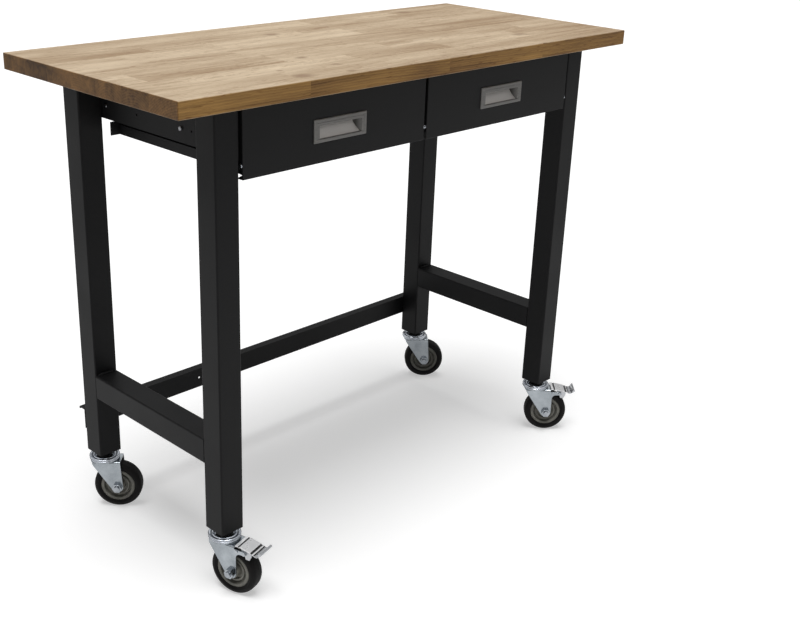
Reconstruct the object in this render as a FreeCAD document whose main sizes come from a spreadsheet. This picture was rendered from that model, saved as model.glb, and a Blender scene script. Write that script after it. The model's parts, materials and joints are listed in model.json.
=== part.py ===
import FreeCAD, Part
import math
import os
import Sketcher

# A mobile workbench: a solid wood worktop on a welded tube frame, with two drawers on telescopic
# slides and four swivel castors, the front pair with brakes. Millimetres, +X to the right, +Y to the
# rear, +Z up. The origin is on the floor, under the middle of the box around the bench.

doc = FreeCAD.newDocument("mobile_workbench")
sheet = doc.addObject("Spreadsheet::Sheet", "sizes")

DRIVING_SIZES = {
    # Worktop
    "worktop_length": 1200,
    "worktop_depth": 518,
    "worktop_thickness": 30,
    "worktop_edge_radius": 1.5,
    "worktop_centre_y": 15,
    "bench_height": 955,
    # Tube frame
    "leg_tube": 50,
    "leg_wall": 2,
    "leg_corner_radius": 3,
    "worktop_end_overhang": 97,
    "worktop_front_overhang": 38.5,
    "worktop_rear_overhang": 30.5,
    "rail_centre_height": 288,
    "foot_plate_thickness": 4,
    "foot_plate_clearance": 0.1,
    # Folded sheet parts of the frame
    "frame_sheet": 2,
    "apron_height": 94,
    "apron_flange": 20,
    "apron_end_inset": 3,
    "stretcher_bottom": 177,
    "stretcher_height": 44,
    "stretcher_hole_radius": 2.5,
    "stretcher_hole_x": -209,
    "channel_flange": 20,
    "channel_lip": 5,
    "rear_panel_height": 80,
    "rear_panel_end_inset": 4,
    "rear_panel_flange_gap": 1,
    "hanger_flange": 16,
    "hanger_tab_height": 60,
    "carrier_offset": 19,
    "carrier_rise": 5.6,
    "carrier_height": 35.4,
    "carrier_hem_height": 18.1,
    "carrier_hem_gap": 2,
    "carrier_front_setback": 33,
    "carrier_length": 341,
    "carrier_tab_reach": 2,
    "carrier_tab_gap": 3,
    "carrier_lip_height": 30,
    "carrier_lip_rear_gap": 6.5,
    "apron_hole_radius": 2,
    "apron_hole_spacing": 161,
    "apron_hole_offset": -18,
    # Fasteners
    "screw_radius": 2.2,
    "screw_head_radius": 4,
    "screw_head_height": 2.4,
    "screw_depth": 18,
    "screw_end_distance": 70,
    "bolt_radius": 4,
    "bolt_head_flats": 13,
    "bolt_head_height": 5.3,
    "bolt_nut_height": 6.5,
    "bolt_spacing": 24,
    "bolt_end_length": 3,
    "carrier_bolt_radius": 2.5,
    "carrier_bolt_head_radius": 4,
    "carrier_bolt_head_height": 2.5,
    "carrier_bolt_spacing": 228,
    "carrier_bolt_rear_inset": 14.5,
    "carrier_bolt_rise": 18,
    "fastener_clearance": 0.05,
    # Drawers
    "drawer_front_gap": 3,
    "drawer_front_height": 125,
    "drawer_front_proud": 2.5,
    "drawer_front_depth": 15,
    "drawer_front_edge_radius": 1,
    "drawer_side_gap": 6,
    "drawer_middle_gap": 7,
    "drawer_sheet": 1.2,
    "drawer_box_rise": 9,
    "drawer_box_height": 84,
    "drawer_box_depth": 365,
    "front_notch_start": 1.6,
    "front_notch_height": 8.7,
    "front_notch_slope": 1.5,
    "front_bracket_height": 20,
    "front_bracket_depth": 12,
    "front_screw_rise": 24,
    "front_screw_setback": 4.8,
    # Telescopic slides
    "slide_rise": 8,
    "slide_height": 32,
    "slide_thickness": 12.7,
    "slide_sheet": 1.2,
    "slide_clearance": 0.3,
    "slide_length": 350,
    "slide_setback": 18,
    "slide_screw_inset": 40,
    # Drawer pulls
    "pull_length": 128,
    "pull_height": 42,
    "pull_plate": 2.5,
    "pull_corner_radius": 4,
    "pull_rise": 58,
    "cup_length": 103,
    "cup_height": 24,
    "cup_drop": 2.5,
    "cup_depth": 14,
    "cup_shallow_depth": 3,
    "cup_wall": 1.5,
    "cup_clearance": 0.3,
    # Castors
    "castor_height": 130,
    "castor_trail": 27,
    "swivel_front_left": -74,
    "swivel_front_right": -46,
    "swivel_rear_left": -45,
    "swivel_rear_right": -43,
    "wheel_radius": 50,
    "tyre_width": 32,
    "tread_round": 9,
    "tyre_seat_clearance": 0.05,
    "hub_radius": 35.5,
    "hub_width": 28,
    "hub_rim": 5.5,
    "hub_web": 14,
    "hub_boss_radius": 15,
    "hub_side_clearance": 0.3,
    "axle_radius": 6,
    "axle_sleeve_radius": 8,
    "axle_head_flats": 18,
    "axle_head_height": 7.5,
    "axle_thread_end": 4,
    "running_clearance": 0.05,
    "fork_gap": 37,
    "fork_sheet": 2.5,
    "fork_bend_radius": 4,
    "fork_boss_radius": 12,
    "fork_toe_reach": 10.6,
    "fork_toe_drop": 6.7,
    "fork_front_reach": 27,
    "fork_rear_reach": 35,
    "crown_clearance": 6.5,
    "crown_radius": 30,
    "dish_radius": 29,
    "dish_height": 1.8,
    "race_radius": 26,
    "race_height": 3.2,
    "race_clearance": 0.3,
    "cap_radius": 30,
    "cap_thickness": 5.5,
    "cap_rim": 3.5,
    "cap_rim_drop": 1.1,
    "cap_edge_radius": 2,
    "cap_dish": 2,
    "cap_top_rim": 4,
    "shoulder_radius": 11,
    "collar_radius": 15,
    "stem_radius": 6,
    "stem_length": 16,
    "stem_nut_flats": 18,
    "stem_nut_height": 8,
    "king_pin_head_radius": 9,
    "king_pin_head_height": 3,
    # Castor brakes
    "brake_pivot_reach": 57,
    "brake_pivot_height": 99.8,
    "brake_pivot_radius": 2.5,
    "brake_pivot_head_radius": 3.6,
    "brake_pivot_head_height": 1.6,
    "brake_arm_reach": 61.5,
    "brake_arm_depth": 8,
    "brake_arm_round": 10,
    "brake_arm_end_round": 3.5,
    "brake_stud_reach": 40.5,
    "brake_stud_height": 100.3,
    "brake_stud_radius": 2,
    "brake_stud_head_radius": 3,
    "pedal_sheet": 2.5,
    "pedal_width": 38,
    "pedal_start": 36.5,
    "pedal_rise": 11.2,
    "pedal_bend": 46,
    "pedal_tread_end": 72,
    "pedal_tread_fall": 5.5,
    "pedal_toe_start": 80,
    "pedal_toe_fall": 9,
    "pedal_toe_bend": 87,
    "pedal_tip": 93.5,
    "pedal_tip_rise": 7,
    "pedal_slot_width": 1.4,
    "pedal_slot_reach": 42,
    "pedal_slot_inset": 4,
    "pedal_cheek_side_gap": 0.3,
    "pedal_cheek_sheet": 1.8,
    "pedal_cheek_start": 50,
    "pedal_cheek_end": 71.5,
    "brake_bar_reach": 63.5,
    "brake_bar_height": 93.5,
    "brake_bar_radius": 4,
    "brake_bar_wall": 1.8,
}


def text_of(size):
    """The spreadsheet expression of a size, or a plain number as text."""
    return size.text if isinstance(size, Size) else repr(float(size))


def value_of(size):
    """The present value of a size or a plain number."""
    return size.value if isinstance(size, Size) else float(size)


class Size:
    """A length or angle together with the spreadsheet expression that drives it."""

    def __init__(self, text, value):
        self.text = text
        self.value = value

    def __add__(self, other):
        return Size(f"({self.text} + {text_of(other)})", self.value + value_of(other))

    def __radd__(self, other):
        return Size(f"({text_of(other)} + {self.text})", value_of(other) + self.value)

    def __sub__(self, other):
        return Size(f"({self.text} - {text_of(other)})", self.value - value_of(other))

    def __rsub__(self, other):
        return Size(f"({text_of(other)} - {self.text})", value_of(other) - self.value)

    def __mul__(self, other):
        return Size(f"({self.text} * {text_of(other)})", self.value * value_of(other))

    __rmul__ = __mul__

    def __truediv__(self, other):
        return Size(f"({self.text} / {text_of(other)})", self.value / value_of(other))

    def __neg__(self):
        return Size(f"(-1 * {self.text})", -self.value)


class Sizes:
    """The driving sizes of the sheet, each as an attribute."""

    def __init__(self, names):
        for name in names:
            setattr(self, name, Size("sizes." + name, float(sheet.get(name))))


for row, (alias, number) in enumerate(DRIVING_SIZES.items(), start=1):
    sheet.set(f"A{row}", str(number))
    sheet.setAlias(f"A{row}", alias)
doc.recompute()
d = Sizes(DRIVING_SIZES)

# Helpers: document objects whose sizes and places are bound to the sheet

X_AXIS = FreeCAD.Rotation(FreeCAD.Vector(0, 1, 0), 90)
Y_AXIS = FreeCAD.Rotation(FreeCAD.Vector(1, 0, 0), -90)
Z_AXIS = FreeCAD.Rotation()
HEX_CORNER = 2 / math.sqrt(3)
nodes = []


def bind(item, name, size):
    """Bind one property of a document object to a size."""
    item.setExpression(name, text_of(size))


def place(item, x=0, y=0, z=0, turn=None):
    """Bind an object's placement, turned about Z where a turn is given."""
    bind(item, "Placement.Base.x", x)
    bind(item, "Placement.Base.y", y)
    bind(item, "Placement.Base.z", z)
    if turn is not None:
        bind(item, "Placement.Rotation.Angle", turn)
    return item


def box(name, x, y, z):
    """A block between two bounds on each axis."""
    item = doc.addObject("Part::Box", name)
    for prop, (low, high) in zip(("Length", "Width", "Height"), (x, y, z)):
        bind(item, prop, high - low)
    return place(item, x[0], y[0], z[0])


def rod(name, radius, length, start, axis=Z_AXIS):
    """A round bar from a start point along an axis."""
    item = doc.addObject("Part::Cylinder", name)
    item.Placement = FreeCAD.Placement(FreeCAD.Vector(), axis)
    bind(item, "Radius", radius)
    bind(item, "Height", length)
    return place(item, *start)


def hexagon(name, flats, length, start, axis=Z_AXIS):
    """A hexagon bar from a start point along an axis, sized across its flats."""
    item = doc.addObject("Part::Prism", name)
    item.Placement = FreeCAD.Placement(FreeCAD.Vector(), axis)
    item.Polygon = 6
    bind(item, "Circumradius", flats * (HEX_CORNER / 2))
    bind(item, "Height", length)
    return place(item, *start)


def fuse(name, items):
    """One solid from touching or overlapping items."""
    item = doc.addObject("Part::MultiFuse", name)
    item.Shapes = items
    item.Refine = True
    return item


def group(name, items):
    """Separate solids kept in one object."""
    item = doc.addObject("Part::Compound", name)
    item.Links = items
    return item


def cut(name, base, tools):
    """A base with one or more tools taken away."""
    item = doc.addObject("Part::Cut", name)
    item.Base = base
    item.Tool = tools[0] if len(tools) == 1 else group(name + "_tools", tools)
    return item


def common(name, base, tool):
    """What a base and a tool share."""
    item = doc.addObject("Part::Common", name)
    item.Base = base
    item.Tool = tool
    return item


def pin(sketch, geometry, end, across, up):
    """Hold one point of a sketch at bound distances from the sketch's origin."""
    for kind, axis, size in (("DistanceX", -2, across), ("DistanceY", -1, up)):
        if value_of(size) == 0:
            sketch.addConstraint(Sketcher.Constraint("PointOnObject", geometry, end, axis))
            continue
        index = sketch.addConstraint(
            Sketcher.Constraint(kind, -1, 1, geometry, end, value_of(size)))
        bind(sketch, f"Constraints[{index}]", size)


def outline(body, name, plane, loops, offset=(0, 0, 0)):
    """A sketch of closed straight-sided loops on one of a body's origin planes, moved by an offset."""
    sketch = body.newObject("Sketcher::SketchObject", name)
    support = [item for item in body.Origin.OriginFeatures if item.Role == plane][0]
    sketch.AttachmentSupport = [(support, "")]
    sketch.MapMode = "FlatFace"
    for letter, size in zip("xyz", offset):
        bind(sketch, f"AttachmentOffset.Base.{letter}", size)
    for loop in loops:
        points = [FreeCAD.Vector(value_of(a), value_of(b), 0) for a, b in loop]
        lines = []
        for index, point in enumerate(points):
            following = points[(index + 1) % len(points)]
            lines.append(sketch.addGeometry(Part.LineSegment(point, following)))
        for index, (across, up) in enumerate(loop):
            sketch.addConstraint(
                Sketcher.Constraint("Coincident", lines[index - 1], 2, lines[index], 1))
            pin(sketch, lines[index], 1, across, up)
    return sketch


def rectangle(low, high):
    """The four corners of a rectangle."""
    return [(low[0], low[1]), (high[0], low[1]), (high[0], high[1]), (low[0], high[1])]


def padded(name, plane, loops, length, offset=(0, 0, 0), middle=False):
    """A body made by padding an outline, both ways from its plane where middle is set."""
    body = doc.addObject("PartDesign::Body", name)
    pad = body.newObject("PartDesign::Pad", name + "_pad")
    pad.Profile = outline(body, name + "_outline", plane, loops, offset)
    bind(pad, "Length", length)
    pad.Midplane = middle
    doc.recompute()
    return body


def turned(name, plane, loop, axis, offset=(0, 0, 0)):
    """A body made by turning an outline round one of its sketch's axes."""
    body = doc.addObject("PartDesign::Body", name)
    revolution = body.newObject("PartDesign::Revolution", name + "_turn")
    sketch = outline(body, name + "_outline", plane, [loop], offset)
    revolution.Profile = sketch
    revolution.ReferenceAxis = (sketch, [axis])
    revolution.Angle = 360
    doc.recompute()
    return body


def rounded(body, radius, wanted):
    """Fillet the edges of a body's last feature whose middle point and edge pass a test."""
    base = body.Tip
    names = [f"Edge{index}" for index, edge in enumerate(base.Shape.Edges, start=1)
             if wanted(edge.CenterOfMass, edge)]
    fillet = body.newObject("PartDesign::Fillet", body.Name + "_round")
    fillet.Base = (base, names)
    bind(fillet, "Radius", radius)
    doc.recompute()
    return body


def near(number, size):
    """Whether a coordinate is at a size."""
    return abs(number - value_of(size)) < 1e-4


def runs_along(edge, letter):
    """Whether a straight edge is parallel to an axis."""
    if len(edge.Vertexes) != 2:
        return False
    step = edge.Vertexes[1].Point - edge.Vertexes[0].Point
    across = [getattr(step, other) for other in "xyz" if other != letter]
    return all(abs(part) < 1e-6 for part in across)


def finish(item, label):
    """Name an object as a sub-part of the bench."""
    item.Label = label
    nodes.append(item)
    return item


# Places that several sub-parts share

leg_half_x = d.worktop_length / 2 - d.worktop_end_overhang
leg_inner_x = leg_half_x - d.leg_tube
leg_centre_x = leg_half_x - d.leg_tube / 2
legs_front = d.worktop_centre_y - d.worktop_depth / 2 + d.worktop_front_overhang
legs_rear = d.worktop_centre_y + d.worktop_depth / 2 - d.worktop_rear_overhang
legs_centre_y = (legs_front + legs_rear) / 2
leg_front_y = legs_front + d.leg_tube / 2
leg_rear_y = legs_rear - d.leg_tube / 2
worktop_underside = d.bench_height - d.worktop_thickness
apron_inner_x = leg_inner_x - d.frame_sheet
apron_bottom = worktop_underside - d.apron_height
flange_underside = worktop_underside - d.frame_sheet
front_bottom = worktop_underside - d.drawer_front_gap - d.drawer_front_height
front_face = legs_front - d.drawer_front_proud
carrier_outer_x = apron_inner_x - d.carrier_offset
carrier_inner_x = carrier_outer_x - d.frame_sheet
carrier_bottom = front_bottom + d.carrier_rise
carrier_top = carrier_bottom + d.carrier_height
carrier_front = front_face + d.carrier_front_setback
carrier_bolt_height = carrier_top + d.carrier_bolt_rise
carrier_bolt_rear = legs_rear - d.leg_tube - d.carrier_bolt_rear_inset
carrier_bolt_places = (carrier_bolt_rear - d.carrier_bolt_spacing, carrier_bolt_rear)
stretcher_top = d.stretcher_bottom + d.stretcher_height
stretcher_bolt_height = d.stretcher_bottom + d.stretcher_height / 2
rear_panel_bottom = worktop_underside - d.rear_panel_height
hanger_x = d.frame_sheet / 2
screw_hole = d.screw_radius + d.fastener_clearance
bolt_hole = d.bolt_radius + d.fastener_clearance
carrier_bolt_hole = d.carrier_bolt_radius + d.fastener_clearance

CORNERS = {
    "front_left": (-leg_centre_x, leg_front_y, d.swivel_front_left, True),
    "front_right": (leg_centre_x, leg_front_y, d.swivel_front_right, True),
    "rear_left": (-leg_centre_x, leg_rear_y, d.swivel_rear_left, False),
    "rear_right": (leg_centre_x, leg_rear_y, d.swivel_rear_right, False),
}
SIDES = {"left": -1, "right": 1}


def ordered(first, second):
    """Two bounds with the lower one first."""
    return (first, second) if value_of(first) < value_of(second) else (second, first)


def mirrored_span(side, inner, outer):
    """Bounds on X of a piece that lies between two distances from the middle, on one side."""
    return ordered(inner * side, outer * side)


# Fastener places: screws up into the worktop, bolts through the rear legs and the side aprons

apron_screw_x = apron_inner_x - d.apron_flange / 2
apron_screw_rows = [legs_front + d.screw_end_distance, legs_centre_y, legs_rear - d.screw_end_distance]
panel_screw_y = legs_rear - d.channel_flange / 2
hanger_screw_x = hanger_x + d.hanger_flange / 2
screw_places = [(apron_screw_x * side, y) for side in SIDES.values() for y in apron_screw_rows]
screw_places += [(hanger_screw_x * side, y) for side in SIDES.values() for y in apron_screw_rows[1:]]
screw_places += [(leg_centre_x * side / 2, panel_screw_y) for side in SIDES.values()]
rear_bolt_places = []
for side in SIDES.values():
    for shift in (-0.5, 0.5):
        bolt_x = leg_centre_x * side + d.bolt_spacing * shift
        rear_bolt_places.append((bolt_x, stretcher_bolt_height))
        rear_bolt_places.append((bolt_x, rear_panel_bottom + d.rear_panel_height / 2))


def screw_holes(name):
    """Tools that drill the worktop and the flanges under it for the worktop screws."""
    length = d.frame_sheet + d.screw_depth
    return [rod(f"{name}_drill_{index}", screw_hole, length, (x, y, flange_underside))
            for index, (x, y) in enumerate(screw_places)]


def rear_bolt_holes(name, places):
    """Tools that drill along Y through a channel's web and the wall of a rear leg."""
    start = legs_rear - d.leg_wall * 2
    length = d.leg_wall * 2 + d.frame_sheet * 2
    return [rod(f"{name}_drill_{index}", bolt_hole, length, (x, start, z), Y_AXIS)
            for index, (x, z) in enumerate(places)]


# Worktop: an edge-glued slab of solid wood with eased edges

slab = padded("worktop_slab", "XY_Plane",
              [rectangle((-d.worktop_length / 2, -d.worktop_depth / 2),
                         (d.worktop_length / 2, d.worktop_depth / 2))],
              d.worktop_thickness)
rounded(slab, d.worktop_edge_radius, lambda middle, edge: True)
place(slab, 0, d.worktop_centre_y, worktop_underside)
finish(cut("worktop_drilled", slab, screw_holes("worktop")), "worktop")

# Legs and side rails: square tube with rounded corners, welded to two side frames


def square_tube(name, plane, letter, length):
    """A square tube along the normal of a plane, the axis of the letter, with its outer corners rounded."""
    half = d.leg_tube / 2
    bore = half - d.leg_wall
    body = padded(name, plane, [rectangle((-half, -half), (half, half)),
                                rectangle((-bore, -bore), (bore, bore))], length)
    return rounded(body, d.leg_corner_radius, lambda middle, edge: runs_along(edge, letter)
                   and near(abs(middle.x), half))


leg_length = worktop_underside - d.castor_height
for corner, (x, y, swivel, braked) in CORNERS.items():
    leg = square_tube(f"tube_{corner}", "XY_Plane", "z", leg_length)
    place(leg, x, y, d.castor_height)
    if corner.startswith("rear"):
        side_bolts = [spot for spot in rear_bolt_places if value_of(spot[0]) * value_of(x) > 0]
        leg = cut(f"leg_{corner}_drilled", leg, rear_bolt_holes(f"leg_{corner}", side_bolts))
    finish(leg, f"leg_{corner}")

rail_length = legs_rear - legs_front - d.leg_tube * 2
for side_name, side in SIDES.items():
    rail = square_tube(f"rail_{side_name}", "XZ_Plane", "y", rail_length)
    place(rail, leg_centre_x * side, legs_rear - d.leg_tube, d.rail_centre_height)
    finish(rail, f"side_rail_{side_name}")

# Foot plates: a steel plate inside the lower end of each leg, drilled for the castor's stem

plate_half = d.leg_tube / 2 - d.leg_wall - d.foot_plate_clearance
plate_top = d.castor_height + d.foot_plate_thickness
foot_plates = []
for corner, (x, y, swivel, braked) in CORNERS.items():
    plate = box(f"plate_{corner}", (x - plate_half, x + plate_half), (y - plate_half, y + plate_half),
                (d.castor_height, plate_top))
    stem_hole = rod(f"plate_{corner}_drill", d.stem_radius + d.fastener_clearance,
                    d.foot_plate_thickness, (x, y, d.castor_height))
    foot_plates.append(cut(f"foot_plate_{corner}", plate, [stem_hole]))
finish(group("foot_plate_set", foot_plates), "leg_foot_plates")

# Side aprons: folded sheet on the inner faces of the legs, with a flange under the worktop

apron_y = (legs_front + d.apron_end_inset, legs_rear - d.apron_end_inset)
apron_hole_centre_y = legs_centre_y + d.apron_hole_offset
for side_name, side in SIDES.items():
    web = box(f"apron_web_{side_name}", mirrored_span(side, apron_inner_x, leg_inner_x), apron_y,
              (apron_bottom, worktop_underside))
    flange = box(f"apron_flange_{side_name}",
                 mirrored_span(side, apron_inner_x - d.apron_flange, apron_inner_x), apron_y,
                 (flange_underside, worktop_underside))
    start_x = min((leg_inner_x * side, apron_inner_x * side), key=value_of)
    holes = screw_holes(f"apron_{side_name}")
    for index, y in enumerate(carrier_bolt_places):
        holes.append(rod(f"apron_{side_name}_bolt_hole_{index}", carrier_bolt_hole, d.frame_sheet,
                         (start_x, y, carrier_bolt_height), X_AXIS))
        holes.append(rod(f"apron_{side_name}_spare_hole_{index}", d.apron_hole_radius, d.frame_sheet,
                         (start_x, apron_hole_centre_y + d.apron_hole_spacing * (index - 0.5),
                          carrier_bolt_height), X_AXIS))
    apron = fuse(f"apron_{side_name}", [web, flange])
    finish(cut(f"apron_{side_name}_drilled", apron, holes), f"side_apron_{side_name}")

# Rear members: the lower stretcher and the upper panel, bolted to the rear faces of the rear legs

rear_span = (-leg_half_x, leg_half_x)
rear_web_y = (legs_rear, legs_rear + d.frame_sheet)
low_bolts = rear_bolt_places[0::2]
high_bolts = rear_bolt_places[1::2]

stretcher_edge = legs_rear + d.channel_flange
stretcher_pieces = [
    box("stretcher_web", rear_span, rear_web_y, (d.stretcher_bottom, stretcher_top)),
    box("stretcher_flange", rear_span, (legs_rear, stretcher_edge),
        (stretcher_top - d.frame_sheet, stretcher_top)),
    box("stretcher_lip", rear_span, (stretcher_edge - d.frame_sheet, stretcher_edge),
        (stretcher_top - d.channel_lip, stretcher_top)),
]
stretcher_holes = rear_bolt_holes("stretcher", low_bolts)
stretcher_holes.append(rod("stretcher_hole", d.stretcher_hole_radius, d.frame_sheet,
                           (d.stretcher_hole_x, legs_rear, stretcher_bolt_height), Y_AXIS))
finish(cut("stretcher_drilled", fuse("stretcher", stretcher_pieces), stretcher_holes), "rear_stretcher")

hanger_flange_x = hanger_x + d.hanger_flange
panel_flange_y = (legs_rear - d.channel_flange, legs_rear + d.frame_sheet)
panel_flange_inner_x = hanger_flange_x + d.rear_panel_flange_gap
panel_flange_outer_x = apron_inner_x - d.apron_flange - d.rear_panel_flange_gap
panel_half_x = leg_half_x - d.rear_panel_end_inset
panel_pieces = [box("panel_web", (-panel_half_x, panel_half_x), rear_web_y,
                    (rear_panel_bottom, worktop_underside))]
for side_name, side in SIDES.items():
    panel_flange_x = mirrored_span(side, panel_flange_inner_x, panel_flange_outer_x)
    panel_pieces.append(box(f"panel_top_{side_name}", panel_flange_x, panel_flange_y,
                            (flange_underside, worktop_underside)))
    panel_pieces.append(box(f"panel_base_{side_name}", panel_flange_x, panel_flange_y,
                            (rear_panel_bottom, rear_panel_bottom + d.frame_sheet)))
panel_holes = rear_bolt_holes("panel", high_bolts) + screw_holes("panel")
finish(cut("panel_drilled", fuse("panel", panel_pieces), panel_holes), "rear_panel")

# Centre hanger: a folded plate between the drawers, under the worktop and on the rear panel

hanger_y = (front_face + d.slide_setback, legs_rear)
hanger_pieces = [
    box("hanger_web", (-hanger_x, hanger_x), hanger_y, (carrier_bottom, worktop_underside)),
    box("hanger_flange", (-hanger_flange_x, hanger_flange_x), hanger_y,
        (flange_underside, worktop_underside)),
    box("hanger_tab", (-hanger_flange_x, hanger_flange_x), (legs_rear - d.frame_sheet, legs_rear),
        (worktop_underside - d.hanger_tab_height, worktop_underside)),
]
finish(cut("hanger_drilled", fuse("hanger", hanger_pieces), screw_holes("hanger")), "centre_hanger")

# Slide carriers: folded brackets bolted to the side aprons, which hold the outer slides.
# The lower edge is turned back up as an open hem, and a tab at the rear reaches out under the apron.

carrier_y = (carrier_front, carrier_front + d.carrier_length)
tab_y = (carrier_y[1] - d.frame_sheet, carrier_y[1])
tab_top = apron_bottom - d.carrier_tab_gap
hem_inner_x = carrier_outer_x + d.carrier_hem_gap
hem_outer_x = hem_inner_x + d.frame_sheet
lip_y = (carrier_front, legs_rear - d.leg_tube - d.carrier_lip_rear_gap)
for side_name, side in SIDES.items():
    web_x = mirrored_span(side, carrier_inner_x, carrier_outer_x)
    shelf_x = mirrored_span(side, carrier_inner_x, apron_inner_x)
    pieces = [
        box(f"carrier_web_{side_name}", web_x, carrier_y, (carrier_bottom, carrier_top)),
        box(f"carrier_shelf_{side_name}", shelf_x, carrier_y,
            (carrier_top - d.frame_sheet, carrier_top)),
        box(f"carrier_hem_{side_name}", mirrored_span(side, hem_inner_x, hem_outer_x), carrier_y,
            (carrier_bottom, carrier_bottom + d.carrier_hem_height)),
        box(f"carrier_fold_{side_name}", mirrored_span(side, carrier_inner_x, hem_outer_x), carrier_y,
            (carrier_bottom, carrier_bottom + d.frame_sheet)),
        box(f"carrier_tab_{side_name}",
            mirrored_span(side, carrier_inner_x, leg_inner_x + d.carrier_tab_reach), tab_y,
            (carrier_bottom, tab_top)),
        box(f"carrier_lip_{side_name}",
            mirrored_span(side, apron_inner_x - d.frame_sheet, apron_inner_x), lip_y,
            (carrier_top - d.frame_sheet, carrier_top + d.carrier_lip_height)),
    ]
    start_x = min((apron_inner_x * side, (apron_inner_x - d.frame_sheet) * side), key=value_of)
    holes = [rod(f"carrier_{side_name}_hole_{index}", carrier_bolt_hole, d.frame_sheet,
                 (start_x, y, carrier_bolt_height), X_AXIS)
             for index, y in enumerate(carrier_bolt_places)]
    carrier = fuse(f"carrier_{side_name}", pieces)
    finish(cut(f"carrier_{side_name}_drilled", carrier, holes), f"slide_carrier_{side_name}")

# Fasteners of the frame: worktop screws, hexagon bolts with nuts, and round-headed carrier bolts

screws = []
for index, (x, y) in enumerate(screw_places):
    head = rod(f"screw_head_{index}", d.screw_head_radius, d.screw_head_height,
               (x, y, flange_underside - d.screw_head_height))
    shank = rod(f"screw_shank_{index}", d.screw_radius, d.frame_sheet + d.screw_depth,
                (x, y, flange_underside))
    screws.append(fuse(f"screw_{index}", [head, shank]))
finish(group("screw_set", screws), "worktop_screws")

bolts = []
bolt_length = d.frame_sheet + d.leg_wall + d.bolt_nut_height + d.bolt_end_length
nut_start = legs_rear - d.leg_wall - d.bolt_nut_height
for index, (x, z) in enumerate(rear_bolt_places):
    head = hexagon(f"bolt_head_{index}", d.bolt_head_flats, d.bolt_head_height,
                   (x, legs_rear + d.frame_sheet, z), Y_AXIS)
    shank = rod(f"bolt_shank_{index}", d.bolt_radius, bolt_length,
                (x, legs_rear + d.frame_sheet - bolt_length, z), Y_AXIS)
    bolts.append(fuse(f"bolt_{index}", [head, shank]))
    nut = hexagon(f"nut_body_{index}", d.bolt_head_flats, d.bolt_nut_height, (x, nut_start, z), Y_AXIS)
    thread = rod(f"nut_drill_{index}", bolt_hole, d.bolt_nut_height, (x, nut_start, z), Y_AXIS)
    bolts.append(cut(f"nut_{index}", nut, [thread]))
finish(group("bolt_set", bolts), "frame_bolts")

carrier_bolts = []
carrier_shank = d.frame_sheet * 2
for side_name, side in SIDES.items():
    head_x = mirrored_span(side, leg_inner_x, leg_inner_x + d.carrier_bolt_head_height)[0]
    shank_x = mirrored_span(side, leg_inner_x - carrier_shank, leg_inner_x)[0]
    for index, y in enumerate(carrier_bolt_places):
        name = f"carrier_bolt_{side_name}_{index}"
        head = rod(name + "_head", d.carrier_bolt_head_radius, d.carrier_bolt_head_height,
                   (head_x, y, carrier_bolt_height), X_AXIS)
        shank = rod(name + "_shank", d.carrier_bolt_radius, carrier_shank,
                    (shank_x, y, carrier_bolt_height), X_AXIS)
        carrier_bolts.append(fuse(name, [head, shank]))
finish(group("carrier_bolt_set", carrier_bolts), "carrier_bolts")

# Telescopic slides: an outer channel on the bench, a middle one, and an inner one on the drawer

slide_bottom = front_bottom + d.slide_rise
slide_y = (front_face + d.slide_setback, front_face + d.slide_setback + d.slide_length)


def slide_channel(name, back, mouth, inset):
    """A channel between a back and a mouth on X, set in from the slide's height at top and bottom."""
    low, high = slide_bottom + inset, slide_bottom + d.slide_height - inset
    outwards = 1 if value_of(mouth) > value_of(back) else -1
    span = ordered(back, mouth)
    wall = ordered(back, back + d.slide_sheet * outwards)
    pieces = [
        box(name + "_wall", wall, slide_y, (low, high)),
        box(name + "_top", span, slide_y, (high - d.slide_sheet, high)),
        box(name + "_base", span, slide_y, (low, low + d.slide_sheet)),
    ]
    return fuse(name, pieces)


def slide_screw_rods(name, front, towards, radius):
    """Bars through an inner channel's wall and the tray's wall, at the places of the slide's screws."""
    start = min((front - d.slide_sheet * towards, front + d.drawer_sheet * towards), key=value_of)
    height = slide_bottom + d.slide_height / 2
    rows = (slide_y[0] + d.slide_screw_inset, slide_y[1] - d.slide_screw_inset)
    return [rod(f"{name}_{index}", radius, d.slide_sheet + d.drawer_sheet, (start, y, height), X_AXIS)
            for index, y in enumerate(rows)]


def slide_screws(name, front, towards):
    """Round-headed screws that hold an inner channel on the tray, with their heads in the channel."""
    near_x = front - d.slide_sheet * towards
    far_x = near_x - d.screw_head_height * towards
    screws = []
    for shank in slide_screw_rods(name + "_shank", front, towards, d.screw_radius):
        head = rod(shank.Name + "_head", d.screw_head_radius, d.screw_head_height, (0, 0, 0), X_AXIS)
        bind(head, "Placement.Base.x", min((near_x, far_x), key=value_of))
        head.setExpression("Placement.Base.y", shank.Name + ".Placement.Base.y")
        head.setExpression("Placement.Base.z", shank.Name + ".Placement.Base.z")
        screws.append(fuse(shank.Name + "_screw", [head, shank]))
    return screws


def slide_set(name, back, towards):
    """Outer, middle and inner channels of one slide, from the face that carries it, and its screws."""
    step = d.slide_sheet + d.slide_clearance
    front = back + d.slide_thickness * towards
    outer = slide_channel(name + "_outer", back, front - step * towards, 0)
    middle = slide_channel(name + "_middle", back + step * towards, front - step * towards, step)
    inner = slide_channel(name + "_inner", front, back + step * 2 * towards, step * 2)
    drilled = cut(name + "_inner_drilled", inner,
                  slide_screw_rods(name + "_inner_drill", front, towards, screw_hole))
    return outer, middle, drilled, slide_screws(name, front, towards)


# Drawers: a folded tray behind a flat folded front, with a recessed pull

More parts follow.
